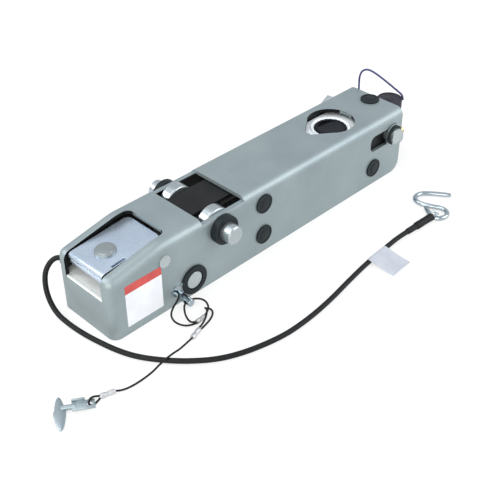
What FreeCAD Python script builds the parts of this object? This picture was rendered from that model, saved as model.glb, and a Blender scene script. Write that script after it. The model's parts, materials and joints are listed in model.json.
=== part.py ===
import FreeCAD, Part
import math
import os
import re
import Sketcher
from FreeCAD import Rotation, Vector

# Surge brake actuator: a pressed steel coupler shell that slides over an inner frame with the master
# cylinder. X runs from the nose to the rear, Y to the far side, Z up. The origin is on the resting
# plane, in the middle of the nose's front rim.

driving = {
    # Outer shell
    "wall": 4.5,
    "shell_length": 480.0,
    "shell_width": 90.0,
    "shell_height": 90.0,
    "shell_bend": 10.0,
    "nose_drop": 14.0,
    "nose_slope_x": 70.0,
    "nose_crown": 60.0,
    "rear_corner": 14.0,
    "window_front": 127.0,
    "window_rear": 191.0,
    "window_depth": 5.5,
    "latch_gap_width": 61.0,
    "latch_gap_rear": 87.0,
    "latch_gap_sill": 46.5,
    "latch_gap_corner": 8.0,
    # Filler opening in the shell's top
    "filler_inset": 92.0,
    "filler_radius": 30.0,
    "filler_tip_reach": 43.0,
    "filler_tip_half": 5.0,
    "filler_cheek_reach": 14.0,
    "filler_cheek_half": 26.6,
    # Slot that limits the surge travel
    "slot_inset": 65.0,
    "slot_height": 22.0,
    "slot_corner": 8.0,
    "slot_end_gap": 0.3,
    "surge_travel": 32.0,
    # Cross pins
    "fit_gap": 0.05,
    "front_pin_x": 155.0,
    "front_pin_drop": 22.0,
    "front_pin_radius": 11.0,
    "front_pin_reach": 67.0,
    "collar_radius": 17.5,
    "collar_width": 8.5,
    "roller_radius": 20.5,
    "roller_width": 14.0,
    "roller_edge": 2.0,
    "roller_side_gap": 2.8,
    "lower_pin_x": 110.5,
    "lower_pin_z": 21.0,
    "lower_pin_radius": 11.5,
    "ring_radius": 18.0,
    "ring_width": 3.0,
    "ring_recess": 1.0,
    "rear_pin_inset": 22.0,
    "rear_pin_z": 60.5,
    "rear_pin_radius": 10.0,
    "rear_pin_reach": 54.0,
    "rear_head_radius": 13.5,
    "rear_head_width": 8.0,
    "washer_radius": 14.5,
    "washer_width": 1.6,
    "clip_radius": 13.0,
    "clip_width": 2.4,
    "clip_gap": 9.0,
    "pin_edge": 1.2,
    # Inner frame
    "frame_wall": 4.5,
    "frame_gap": 1.2,
    "frame_front": 122.0,
    "frame_inset": 9.0,
    "frame_floor": 6.0,
    "frame_bend": 8.0,
    "rail_depth": 6.6,
    "rail_rear": 176.0,
    "notch_inside": 21.0,
    "notch_margin": 3.0,
    "roller_gap": 0.4,
    "frame_window_inset": 146.0,
    "frame_window_end": 52.0,
    "frame_window_half": 31.0,
    "bolt_hole_radius": 6.75,
    "front_bolt_x": 221.0,
    "bolt_low_z": 25.0,
    "bolt_high_z": 68.0,
    "rear_bolt_inset": 57.0,
    # Access plugs
    "plug_radius": 12.0,
    "plug_stem": 9.5,
    "plug_cap": 2.0,
    "plug_depth": 5.5,
    "plug_edge": 1.2,
    "top_plug_inset": 15.0,
    # Ball coupler
    "ball_x": 34.5,
    "ball_z": 20.0,
    "socket_radius": 26.0,
    "socket_wall": 4.0,
    "socket_floor_sink": 1.0,
    "socket_floor_rear": 66.0,
    "latch_x": 71.0,
    "latch_z": 68.0,
    "latch_pin_radius": 6.0,
    "latch_head_radius": 7.5,
    "latch_head_width": 1.5,
    "latch_width": 56.0,
    "latch_plate": 4.0,
    "latch_sink": 0.6,
    "latch_proud": 1.5,
    "latch_front": 2.0,
    "latch_rear": 85.0,
    "latch_lip_depth": 12.5,
    "latch_cheek": 4.0,
    "latch_cheek_radius": 13.0,
    "latch_edge": 2.0,
    "button_x": 30.0,
    "button_radius": 12.0,
    "button_height": 6.5,
    "button_dome": 4.0,
    "button_seat": 1.0,
    "clamp_width": 36.0,
    "clamp_slot": 13.0,
    "clamp_eye": 16.5,
    "clamp_front": 50.0,
    "clamp_low": 7.0,
    "clamp_high": 20.0,
    "clamp_gap": 0.5,
    # Master cylinder and push rod
    "cylinder_z": 46.0,
    "cylinder_radius": 18.0,
    "bore_radius": 11.5,
    "bore_spare": 16.0,
    "cylinder_inset": 190.0,
    "reservoir_inset": 134.0,
    "reservoir_end": 60.0,
    "reservoir_half": 27.0,
    "reservoir_top": 73.0,
    "reservoir_corner": 8.0,
    "cover_thickness": 2.5,
    "bulkhead_inset": 40.0,
    "bulkhead_wall": 6.0,
    "cap_radius": 19.0,
    "cap_height": 6.0,
    "cap_gap": 0.3,
    "cap_ribs": 20.0,
    "rib_radius": 1.1,
    "bracket_half": 5.0,
    "bracket_eye": 17.0,
    "bracket_web_half": 13.6,
    "bracket_boss": 15.3,
    "bracket_top": 6.0,
    "rod_radius": 7.0,
    "piston_length": 22.0,
    "piston_gap": 0.3,
    "piston_inset": 148.0,
    # Brake line outlet and reversing solenoid
    "outlet_y": -12.0,
    "outlet_z": 26.0,
    "outlet_radius": 15.0,
    "outlet_overhang": 32.0,
    "brass_radius": 6.5,
    "brass_reach": 12.0,
    "port_radius": 3.6,
    "port_depth": 14.0,
    "coil_overhang": 19.0,
    "coil_y": -7.0,
    "coil_radius": 16.5,
    "coil_top": 82.0,
    "coil_edge": 1.5,
    "stem_radius": 7.0,
    # Breakaway cable and its end pieces
    "cable_diameter": 6.0,
    "cord_gap": 0.3,
    "grommet_x": 9.0,
    "grommet_z": 54.0,
    "grommet_radius": 6.0,
    "grommet_width": 3.5,
    "sleeve_radius": 4.9,
    "narrow_sleeve_radius": 3.9,
    "hook_wire": 6.0,
    "tag_length": 34.0,
    "tag_width": 37.0,
    "tag_thickness": 0.8,
    "tag_yaw": 3.0,
    "tag_tilt": 9.4,
    # Lock pin, tether and lanyard
    "lock_x": 92.5,
    "lock_z": 6.4,
    "lock_radius": 4.6,
    "lock_depth": 9.0,
    "lock_proud": 16.0,
    "lock_hole": 2.4,
    "tab_thickness": 2.0,
    "tab_radius": 6.5,
    "tab_x": 84.5,
    "tab_z": 20.0,
    "tab_hole": 1.5,
    "cord_diameter": 2.2,
    "ferrule_radius": 2.9,
    "key_thickness": 4.0,
    "key_leaf": 2.0,
    "key_flange": 6.0,
    "key_stem": 2.9,
    "key_hole": 3.1,
    "key_turn": -32.7,
    "key_bar_bottom": 0.4,
    "key_leaf_bottom": 2.6,
    "key_leaf_half": 6.0,
    "key_stem_front": -25.0,
    "key_stem_rear": -14.0,
    "key_stem_z": 3.6,
    "lead_diameter": 2.6,
}

# Places that are measured from the shell's top, its rear end or another such place
measured = {
    "nose_height": "shell_height - nose_drop",
    "window_sill": "shell_height - window_depth",
    "front_pin_z": "shell_height - front_pin_drop",
    "latch_front_level": "nose_height + latch_proud",
    "latch_lip": "latch_front_level - latch_lip_depth",
    "filler_x": "shell_length - filler_inset",
    "filler_tip_x": "filler_x - filler_tip_reach",
    "filler_cheek_x": "filler_x - filler_cheek_reach",
    "slot_front": "shell_length - slot_inset",
    "rear_pin_x": "shell_length - rear_pin_inset",
    "frame_rear": "shell_length - frame_inset",
    "frame_window_front": "shell_length - frame_window_inset",
    "frame_window_rear": "shell_length - frame_window_end",
    "rear_bolt_x": "shell_length - rear_bolt_inset",
    "top_plug_x": "shell_length - top_plug_inset",
    "cylinder_front": "shell_length - cylinder_inset",
    "reservoir_front": "shell_length - reservoir_inset",
    "reservoir_rear": "shell_length - reservoir_end",
    "bulkhead_front": "shell_length - bulkhead_inset",
    "piston_rear": "shell_length - piston_inset",
    "outlet_rear": "shell_length + outlet_overhang",
    "brass_rear": "outlet_rear + brass_reach",
    "coil_x": "shell_length + coil_overhang",
}

doc = FreeCAD.newDocument("BrakeActuator")
sizes = doc.addObject("Spreadsheet::Sheet", "Sizes")
for row, (alias, number) in enumerate(driving.items(), 1):
    sizes.set("A%d" % row, alias)
    sizes.set("B%d" % row, str(number))
    sizes.setAlias("B%d" % row, alias)
doc.recompute()


def size(alias):
    if alias in measured:
        base, sign, offset = measured[alias].split()
        return size(base) + size(offset) if sign == "+" else size(base) - size(offset)
    return float(sizes.get(alias))


def linked_word(match):
    word = match.group()
    if word in measured:
        return "(" + linked(measured[word]) + ")"
    return "Sizes." + word if word in driving else word


def linked(text):
    return re.sub(r"[a-z_]+", linked_word, text)


def bind(solid, prop, text):
    solid.setExpression(prop, linked(text))


turns = {
    "x": Rotation(Vector(0, 1, 0), 90),
    "y": Rotation(Vector(1, 0, 0), -90),
    "z": Rotation(),
}
side_view = Rotation(Vector(1, 0, 0), 90)
top_view = Rotation()


def place(solid, corner):
    for axis, text in zip("xyz", corner):
        bind(solid, "Placement.Base." + axis, text)


def box(name, corner, spans):
    solid = doc.addObject("Part::Box", name)
    for prop, text in zip(("Length", "Width", "Height"), spans):
        bind(solid, prop, text)
    place(solid, corner)
    return solid


def rod(name, axis, start, radius, length):
    solid = doc.addObject("Part::Cylinder", name)
    solid.Placement = FreeCAD.Placement(Vector(), turns[axis])
    bind(solid, "Radius", radius)
    bind(solid, "Height", length)
    place(solid, start)
    return solid


def ball(name, centre, radius):
    solid = doc.addObject("Part::Sphere", name)
    bind(solid, "Radius", radius)
    place(solid, centre)
    return solid


def fuse(name, *solids):
    solid = doc.addObject("Part::MultiFuse", name)
    solid.Shapes = list(solids)
    return solid


def cut(name, base, *tools):
    solid = doc.addObject("Part::Cut", name)
    solid.Base = base
    solid.Tool = tools[0] if len(tools) == 1 else fuse(name + "Tools", *tools)
    return solid


def tube(name, axis, start, outer, inner, length):
    outside = rod(name + "Outside", axis, start, outer, length)
    inside = rod(name + "Inside", axis, start, inner, length)
    return cut(name, outside, inside)


def group(name, *solids):
    solid = doc.addObject("Part::Compound", name)
    solid.Links = list(solids)
    return solid


def rounded(name, base, alias, wanted, feature="Part::Fillet"):
    doc.recompute()
    amount = size(alias) if isinstance(alias, str) else alias
    solid = doc.addObject(feature, name)
    solid.Base = base
    numbers = [number for number, edge in enumerate(base.Shape.Edges, 1) if wanted(edge)]
    solid.Edges = [(number, amount, amount) for number in numbers]
    return solid


# An outline is a closed sketch of straight sides whose corners are set by the sheet.
def outline(name, view, corners):
    sketch = doc.addObject("Sketcher::SketchObject", name)
    sketch.Placement = FreeCAD.Placement(Vector(), view)
    count = len(corners)
    angles = [2 * math.pi * i / count for i in range(count)]
    spots = [Vector(math.cos(angle), math.sin(angle), 0) for angle in angles]
    for i in range(count):
        sketch.addGeometry(Part.LineSegment(spots[i], spots[(i + 1) % count]), False)
    for i in range(count):
        sketch.addConstraint(Sketcher.Constraint("Coincident", i, 2, (i + 1) % count, 1))
    for i, (across, upward) in enumerate(corners):
        for kind, text in (("DistanceX", across), ("DistanceY", upward)):
            number = sketch.addConstraint(Sketcher.Constraint(kind, -1, 1, i, 1, 1.0))
            sketch.renameConstraint(number, kind + str(i))
            bind(sketch, "Constraints." + kind + str(i), text)
    return sketch


def extruded(name, sketch, length, both_ways=True):
    solid = doc.addObject("Part::Extrusion", name)
    solid.Base = sketch
    solid.DirMode = "Normal"
    solid.Solid = True
    solid.Symmetric = both_ways
    bind(solid, "LengthFwd", length)
    return solid


def middle(edge):
    return edge.valueAt((edge.FirstParameter + edge.LastParameter) / 2)


def runs_along(edge, axis):
    if edge.Curve.TypeId != "Part::GeomLine":
        return False
    return abs(edge.Curve.Direction.dot(axis)) > 0.999


def is_round(edge):
    return edge.Curve.TypeId == "Part::GeomCircle"


def is_circle_at(edge, axis, place_along, radius):
    if not is_round(edge):
        return False
    return abs(edge.Curve.Center.dot(axis) - place_along) < 0.01 and abs(edge.Curve.Radius - radius) < 0.01


along_x = Vector(1, 0, 0)
along_y = Vector(0, 1, 0)
along_z = Vector(0, 0, 1)
parts = []


def keep(node, solid):
    solid.Label = node
    parts.append(solid)
    return solid


# Outer shell: one pressed sheet, open below and at the rear
slope_rise = "(shell_height - nose_height)"
outer_side = outline("ShellSide", side_view, [
    ("-wall / 2", "0"),
    ("shell_length - wall / 2", "0"),
    ("shell_length - wall / 2", "shell_height"),
    ("nose_slope_x", "shell_height"),
    ("-wall / 2", "nose_height"),
])
outer_block = extruded("ShellBlock", outer_side, "shell_width")
inner_side = outline("ShellHollowSide", side_view, [
    ("wall / 2", "-wall"),
    ("shell_length + wall", "-wall"),
    ("shell_length + wall", "shell_height - wall"),
    ("nose_slope_x", "shell_height - wall"),
    ("wall / 2", "nose_height - wall + " + slope_rise + " * wall / (nose_slope_x + wall / 2)"),
])
inner_block = extruded("ShellHollow", inner_side, "shell_width - 2 * wall")


def is_crease(edge, top):
    spot = middle(edge)
    return runs_along(edge, along_y) and abs(spot.x - size("nose_slope_x")) < 0.1 and abs(spot.z - top) < 0.1


def is_outside_bend(edge, front, bottom):
    spot = middle(edge)
    upright = runs_along(edge, along_z) and abs(spot.x - front) < 0.1
    brow = runs_along(edge, along_y) and abs(spot.x - front) < 0.1 and spot.z > bottom + 1
    at_side = abs(abs(spot.y) - size("shell_width") / 2) < size("wall") + 0.1
    at_shoulder = at_side and spot.z > size("nose_height") - size("wall") - 1
    lengthwise = at_shoulder and not runs_along(edge, along_z) and not runs_along(edge, along_y)
    return upright or brow or lengthwise


front_face = -size("wall") / 2
outer_rear = rounded("ShellRear", outer_block, "rear_corner", lambda edge: runs_along(edge, along_y)
                     and middle(edge).x > size("shell_length") / 2 and abs(middle(edge).z) < 0.1)
outer_crowned = rounded("ShellCrown", outer_rear, "nose_crown",
                        lambda edge: is_crease(edge, size("shell_height")))
outer_form = rounded("ShellForm", outer_crowned, "shell_bend",
                     lambda edge: is_outside_bend(edge, front_face, 0))
inner_crowned = rounded("HollowCrown", inner_block, size("nose_crown") - size("wall"),
                        lambda edge: is_crease(edge, size("shell_height") - size("wall")))
inner_form = rounded("HollowForm", inner_crowned, size("shell_bend") - size("wall"),
                     lambda edge: is_outside_bend(edge, size("wall") / 2, -size("wall")))
pressed_shell = cut("PressedShell", outer_form, inner_form)

window = box("RollerWindow", ("window_front", "-shell_width", "window_sill"),
             ("window_rear - window_front", "2 * shell_width", "shell_height"))
latch_gap_block = box("LatchGapBlock", ("-2 * wall", "-latch_gap_width / 2", "latch_gap_sill"),
                      ("latch_gap_rear + 2 * wall", "latch_gap_width", "shell_height"))
latch_gap = rounded("LatchGap", latch_gap_block, "latch_gap_corner", lambda edge: runs_along(edge, along_z)
                    and middle(edge).x > 0)
filler_side = outline("FillerTip", top_view, [
    ("filler_tip_x", "-filler_tip_half"),
    ("filler_cheek_x", "-filler_cheek_half"),
    ("filler_x", "-filler_cheek_half / 2"),
    ("filler_x", "filler_cheek_half / 2"),
    ("filler_cheek_x", "filler_cheek_half"),
    ("filler_tip_x", "filler_tip_half"),
])
filler_tip = extruded("FillerTipCut", filler_side, "2 * shell_height", False)
filler_round = rod("FillerRound", "z", ("filler_x", "0", "0"), "filler_radius", "2 * shell_height")


def slot_block(name, front, rear, height, middle_z, corner):
    block = box(name + "Block", (front, "-shell_width", middle_z + " - " + height + " / 2"),
                (rear + " - " + front, "2 * shell_width", height))
    return rounded(name, block, corner, lambda edge: runs_along(edge, along_y))


slot_rear = "(rear_pin_x + rear_pin_radius + fit_gap + slot_end_gap)"
surge_slot = slot_block("SurgeSlot", "slot_front", slot_rear, "slot_height", "rear_pin_z", "slot_corner")


def cross_hole(name, x, z, radius):
    return rod(name, "y", (x, "-shell_width", z), radius, "2 * shell_width")


pin_holes = [
    cross_hole("FrontPinHole", "front_pin_x", "front_pin_z", "front_pin_radius + fit_gap"),
    cross_hole("LowerPinHole", "lower_pin_x", "lower_pin_z", "lower_pin_radius + fit_gap"),
    cross_hole("LatchPinHole", "latch_x", "latch_z", "latch_pin_radius + fit_gap"),
]
bolt_places = {
    "FrontHigh": ("front_bolt_x", "bolt_high_z"),
    "FrontLow": ("front_bolt_x", "bolt_low_z"),
    "Rear": ("rear_bolt_x", "bolt_low_z"),
}
access_holes = [cross_hole("Access" + name, x, z, "plug_stem") for name, (x, z) in bolt_places.items()]
top_plug_hole = rod("TopPlugHole", "z", ("top_plug_x", "0", "shell_height / 2"), "plug_stem", "shell_height")
lock_hole = rod("LockHole", "y", ("lock_x", "-shell_width", "lock_z"), "lock_radius + fit_gap", "shell_width")
cable_bore = "(cable_diameter / 2 + cord_gap)"
grommet_hole = rod("GrommetHole", "y", ("grommet_x", "0", "grommet_z"), cable_bore, "shell_width")
openings = [window, latch_gap, filler_tip, filler_round]
shell_cuts = openings + [surge_slot, top_plug_hole, lock_hole, grommet_hole]
keep("outer_shell", cut("OuterShell", pressed_shell, *(shell_cuts + pin_holes + access_holes)))


# Access plugs: a low cap over each hole and a stem in it
def plug(name, axis, stem_start, cap_start, cap_outside):
    stem = rod(name + "Stem", axis, stem_start, "plug_stem", "plug_depth")
    cap = rod(name + "Cap", axis, cap_start, "plug_radius", "plug_cap")
    normal = {"y": along_y, "z": along_z}[axis]
    edged = rounded(name + "Edge", cap, "plug_edge",
                    lambda edge: is_circle_at(edge, normal, cap_outside, size("plug_radius")))
    return fuse(name, stem, edged)


half_width = size("shell_width") / 2
side_plugs = []
for place_name, (x, z) in bolt_places.items():
    side_plugs.append(plug("NearPlug" + place_name, "y", (x, "-shell_width / 2", z),
                           (x, "-shell_width / 2 - plug_cap", z), -half_width - size("plug_cap")))
    side_plugs.append(plug("FarPlug" + place_name, "y", (x, "shell_width / 2 - plug_depth", z),
                           (x, "shell_width / 2", z), half_width + size("plug_cap")))
keep("side_plugs", group("SidePlugs", *side_plugs))
keep("top_plug", plug("TopPlug", "z", ("top_plug_x", "0", "shell_height - plug_depth"),
                      ("top_plug_x", "0", "shell_height"), size("shell_height") + size("plug_cap")))

# Front cross pin with its collars and rollers
front_pin = rod("FrontPinBar", "y", ("front_pin_x", "-front_pin_reach", "front_pin_z"), "front_pin_radius",
                "2 * front_pin_reach")
keep("front_cross_pin", rounded("FrontPin", front_pin, "pin_edge", is_round, "Part::Chamfer"))


def side_tube(name, x, z, near_face, width, outer, inner, sign):
    start = "-(%s) - (%s)" % (near_face, width) if sign < 0 else near_face
    return tube(name, "y", (x, start, z), outer, inner, width)


def soft_ring(name, x, z, face, width, outer, inner, edge_size, sign):
    ring = side_tube(name + "Ring", x, z, face, width, outer, inner, sign)
    reach = sign * (half_width + size(width))
    return rounded(name, ring, edge_size, lambda edge: is_circle_at(edge, along_y, reach, size(outer)))


both_sides = (("Near", -1), ("Far", 1))
collars = [soft_ring("Collar" + side, "front_pin_x", "front_pin_z", "shell_width / 2", "collar_width",
                     "collar_radius", "front_pin_radius + fit_gap", "pin_edge", sign)
           for side, sign in both_sides]
keep("front_pin_collars", group("FrontPinCollars", *collars))

roller_face = "(shell_width / 2 - wall - roller_side_gap - roller_width)"
for side, sign in both_sides:
    wheel = side_tube("Wheel" + side, "front_pin_x", "front_pin_z", roller_face, "roller_width",
                      "roller_radius", "front_pin_radius + fit_gap", sign)
    roller = rounded("Roller" + side, wheel, "roller_edge", lambda edge: is_round(edge)
                     and abs(edge.Curve.Radius - size("roller_radius")) < 0.01)
    keep("roller_" + side.lower(), roller)

# Lower pin, the pivot of the ball clamp
lower_reach = "(shell_width / 2 + ring_width - ring_recess)"
lower_pin = rod("LowerPinBar", "y", ("lower_pin_x", "-" + lower_reach, "lower_pin_z"), "lower_pin_radius",
                "2 * " + lower_reach)
keep("lower_pin", rounded("LowerPin", lower_pin, "pin_edge", is_round, "Part::Chamfer"))
rings = [soft_ring("LowerRing" + side, "lower_pin_x", "lower_pin_z", "shell_width / 2", "ring_width",
                   "ring_radius", "lower_pin_radius + fit_gap", "pin_edge", sign)
         for side, sign in both_sides]
keep("lower_pin_rings", group("LowerPinRings", *rings))

# Inner frame: a channel that is bolted to the trailer tongue
frame_width = "(shell_width - 2 * wall - 2 * frame_gap)"
frame_top = "(shell_height - wall - frame_gap)"
frame_block = box("FrameBlock", ("frame_front", "-" + frame_width + " / 2", "frame_floor"),
                  ("frame_rear - frame_front", frame_width, frame_top + " - frame_floor"))
frame_inner_width = "(" + frame_width + " - 2 * frame_wall)"
frame_hollow = box("FrameHollowBlock", ("frame_front - frame_wall", "-" + frame_inner_width + " / 2", "0"),
                   ("frame_rear - frame_front + 2 * frame_wall", frame_inner_width,
                    frame_top + " - frame_wall"))
frame_form = rounded("FrameForm", frame_block, "frame_bend", lambda edge: runs_along(edge, along_x)
                     and middle(edge).z > size("shell_height") / 2)
frame_inside = rounded("FrameInside", frame_hollow, size("frame_bend") - size("frame_wall"),
                       lambda edge: runs_along(edge, along_x) and middle(edge).z > size("shell_height") / 2)
rail_top = "(front_pin_z - roller_radius - roller_gap)"
notch_front = "(front_pin_x - roller_radius - notch_margin)"
notch_span = "(2 * roller_radius + surge_travel + 2 * notch_margin)"
notch_spans = (notch_span, "shell_width - notch_inside", "shell_height")
near_notch = box("NearNotch", (notch_front, "-shell_width", rail_top), notch_spans)
far_notch = box("FarNotch", (notch_front, "notch_inside", rail_top), notch_spans)
rail_relief = box("RailRelief", ("frame_front - frame_wall", "-shell_width", "0"),
                  ("rail_rear - frame_front + frame_wall", "2 * shell_width", rail_top + " - rail_depth"))
frame_window = box("FrameWindow", ("frame_window_front", "-frame_window_half", "shell_height / 2"),
                   ("frame_window_rear - frame_window_front", "2 * frame_window_half", "shell_height"))
bolt_holes = [cross_hole("Bolt" + name, x, z, "bolt_hole_radius") for name, (x, z) in bolt_places.items()]
rear_pin_hole = cross_hole("RearPinHole", "rear_pin_x", "rear_pin_z", "rear_pin_radius + fit_gap")
channel = cut("FrameChannel", frame_form, frame_inside)
frame_cuts = [near_notch, far_notch, rail_relief, frame_window, rear_pin_hole]
keep("inner_frame", cut("InnerFrame", channel, *(frame_cuts + bolt_holes)))

# Rear pin in the frame, held in the shell's slot by washers and clips
head_face = "(shell_width / 2 + washer_width + frame_gap)"
rear_bar = rod("RearPinBar", "y", ("rear_pin_x", "-rear_pin_reach", "rear_pin_z"), "rear_pin_radius",
               "rear_pin_reach + " + head_face)
rear_head = rod("RearPinHead", "y", ("rear_pin_x", head_face, "rear_pin_z"), "rear_head_radius",
                "rear_head_width")
rear_edged = rounded("RearPinEdge", rear_head, "pin_edge", lambda edge: is_round(edge)
                     and edge.Curve.Center.y > size("shell_width") / 2 + size("rear_head_width"))
keep("rear_pin", fuse("RearPin", rear_bar, rear_edged))
washer_face = "shell_width / 2 + frame_gap"
washers = [side_tube("RearWasher" + side, "rear_pin_x", "rear_pin_z", washer_face, "washer_width",
                     "washer_radius", "rear_pin_radius + fit_gap", sign) for side, sign in both_sides]
keep("rear_pin_washers", group("RearPinWashers", *washers))
clip_ring = side_tube("ClipRing", "rear_pin_x", "rear_pin_z", washer_face + " + washer_width", "clip_width",
                      "clip_radius", "rear_pin_radius + fit_gap", -1)
clip_mouth = box("ClipMouth", ("rear_pin_x - clip_gap / 2", "-shell_width", "rear_pin_z - 2 * clip_radius"),
                 ("clip_gap", "shell_width", "2 * clip_radius"))
keep("rear_pin_clip", cut("RearPinClip", clip_ring, clip_mouth))

# Ball socket: a floor in the nose with a ball cup below
socket_floor_z = "(ball_z + socket_radius - socket_floor_sink)"
floor_block = box("SocketFloorBlock", ("wall / 2", "-shell_width / 2 + wall", socket_floor_z),
                  ("socket_floor_rear - wall / 2", "shell_width - 2 * wall", "socket_wall"))
socket_floor = rounded("SocketFloor", floor_block, "shell_bend", lambda edge: runs_along(edge, along_z))
cup_outside = ball("CupOutside", ("ball_x", "0", "ball_z"), "socket_radius + socket_wall")
cup_inside = ball("CupInside", ("ball_x", "0", "ball_z"), "socket_radius")
cup_below = box("CupBelow", ("-shell_length", "-shell_width", "ball_z - 2 * shell_height"),
                ("2 * shell_length", "2 * shell_width", "2 * shell_height"))
cup_outer = cut("CupUpper", cup_outside, cup_below)
keep("ball_socket", cut("BallSocket", fuse("SocketBlank", socket_floor, cup_outer), cup_inside))

# Latch: a folded plate on a cross pin, with a button on top and cheeks beside the pin
latch_bar = rod("LatchPinBar", "y", ("latch_x", "-shell_width / 2", "latch_z"), "latch_pin_radius",
                "shell_width")
latch_heads = [side_tube("LatchHead" + side, "latch_x", "latch_z", "shell_width / 2", "latch_head_width",
                         "latch_head_radius", "latch_pin_radius / 2", sign) for side, sign in both_sides]
latch_cap_starts = {"Near": "-shell_width / 2 - latch_head_width", "Far": "shell_width / 2"}
latch_caps = [rod("LatchCap" + side, "y", ("latch_x", start, "latch_z"), "latch_pin_radius",
                  "latch_head_width") for side, start in latch_cap_starts.items()]
keep("latch_pin", fuse("LatchPin", latch_bar, *(latch_heads + latch_caps)))

rear_level = "(shell_height - wall - latch_sink)"
slope = "((" + rear_level + " - latch_front_level) / (latch_rear - latch_front))"
latch_side = outline("LatchSide", side_view, [
    ("latch_front", "latch_lip"),
    ("latch_front + 2 * latch_plate", "latch_lip"),
    ("latch_front + 2 * latch_plate", "latch_front_level - latch_plate"),
    ("latch_rear", rear_level + " - latch_plate"),
    ("latch_rear", rear_level),
    ("latch_front", "latch_front_level"),
])
latch_top = extruded("LatchTop", latch_side, "latch_width")


def latch_level(x):
    rear = size("shell_height") - size("wall") - size("latch_sink")
    fall = (rear - size("latch_front_level")) / (size("latch_rear") - size("latch_front"))
    return rear - fall * (size("latch_rear") - x)


def is_latch_rim(edge):
    spot = middle(edge)
    return spot.x < size("latch_rear") - 1 and abs(spot.z - latch_level(spot.x)) < 0.1


latch_form = rounded("LatchForm", latch_top, "latch_edge", is_latch_rim)
cheek_eye = rod("CheekEye", "y", ("latch_x", "-latch_width / 2", "latch_z"), "latch_cheek_radius",
                "latch_width")
cheek_web = box("CheekWeb", ("latch_x - latch_cheek_radius", "-latch_width / 2", "latch_z"),
                ("2 * latch_cheek_radius", "latch_width", rear_level + " - latch_plate - latch_z"))
cheek_gap = box("CheekGap", ("0", "-latch_width / 2 + latch_cheek", "0"),
                ("2 * latch_rear", "latch_width - 2 * latch_cheek", rear_level + " - latch_plate"))
cheeks = cut("LatchCheeks", fuse("CheekBlank", cheek_eye, cheek_web), cheek_gap)
latch_bore = cross_hole("LatchBore", "latch_x", "latch_z", "latch_pin_radius + fit_gap")
keep("latch_plate", cut("LatchPlate", fuse("LatchBlank", latch_form, cheeks), latch_bore))

button_z = "(" + rear_level + " - " + slope + " * (latch_rear - button_x) - button_seat)"
button_bar = rod("ButtonBar", "z", ("button_x", "0", button_z), "button_radius", "button_height")
button_round = rounded("ButtonRound", button_bar, "button_dome", lambda edge: is_round(edge)
                       and edge.Curve.Center.z > latch_level(size("button_x")) + 1)
keep("latch_button", cut("LatchButton", button_round, latch_form))

# Ball clamp: a jaw behind the ball that turns on the lower pin
clamp_side = outline("ClampSide", side_view, [
    ("clamp_front", "clamp_low"),
    ("lower_pin_x", "lower_pin_z - clamp_eye"),
    ("lower_pin_x", "lower_pin_z + clamp_eye"),
    ("latch_x + latch_cheek_radius", "lower_pin_z + clamp_eye"),
    ("clamp_front + clamp_high", "clamp_high"),
    ("clamp_front", "clamp_high"),
])
clamp_arm = extruded("ClampArm", clamp_side, "clamp_width")
clamp_eye_bar = rod("ClampEye", "y", ("lower_pin_x", "-clamp_width / 2", "lower_pin_z"), "clamp_eye",
                    "clamp_width")
clamp_slot = box("ClampSlot", ("latch_x + latch_cheek_radius", "-clamp_slot / 2", "0"),
                 ("shell_width", "clamp_slot", "shell_height"))
clamp_ball = ball("ClampBall", ("ball_x", "0", "ball_z"), "socket_radius + clamp_gap")
clamp_bore = cross_hole("ClampBore", "lower_pin_x", "lower_pin_z", "lower_pin_radius + fit_gap")
cup_clear = ball("CupClear", ("ball_x", "0", "ball_z"), "socket_radius + socket_wall + 2 * clamp_gap")
cup_clear_top = cut("CupClearTop", cup_clear, cup_below)
clamp_blank = fuse("ClampBlank", clamp_arm, clamp_eye_bar)
keep("ball_clamp", cut("BallClamp", clamp_blank, clamp_slot, clamp_ball, clamp_bore, cup_clear_top))

# Push bracket on both shell pins, with the push rod and piston
bracket_side = outline("BracketSide", side_view, [
    ("lower_pin_x + bracket_eye / 2", "lower_pin_z - bracket_web_half"),
    ("front_pin_x + bracket_eye", "front_pin_z"),
    ("front_pin_x - bracket_eye / 2", "front_pin_z + bracket_web_half"),
    ("lower_pin_x - bracket_eye", "lower_pin_z"),
])
bracket_web = extruded("BracketWeb", bracket_side, "2 * bracket_half")
bracket_eyes = []
bracket_bores = []
for name, pin in (("Front", "front_pin"), ("Lower", "lower_pin")):
    bracket_eyes.append(rod("BracketEye" + name, "y", (pin + "_x", "-bracket_half", pin + "_z"),
                            "bracket_boss", "2 * bracket_half"))
    bracket_bores.append(cross_hole("BracketBore" + name, pin + "_x", pin + "_z", pin + "_radius + fit_gap"))
bracket_trim = box("BracketTrim", ("0", "-shell_width", "front_pin_z + bracket_top"),
                   ("shell_length", "2 * shell_width", "shell_height"))
bracket_blank = fuse("BracketBlank", bracket_web, *bracket_eyes)
keep("push_bracket", cut("PushBracket", bracket_blank, bracket_trim, *bracket_bores))

rod_front = "((front_pin_x + lower_pin_x) / 2 + bracket_eye)"
push_bar = rod("PushBar", "x", (rod_front, "0", "cylinder_z"), "rod_radius",
               "piston_rear - piston_length - " + rod_front)
piston = rod("Piston", "x", ("piston_rear - piston_length", "0", "cylinder_z"), "bore_radius - piston_gap",
             "piston_length")
keep("push_rod", cut("PushRod", fuse("PushRodBlank", push_bar, piston), bracket_blank))

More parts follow.
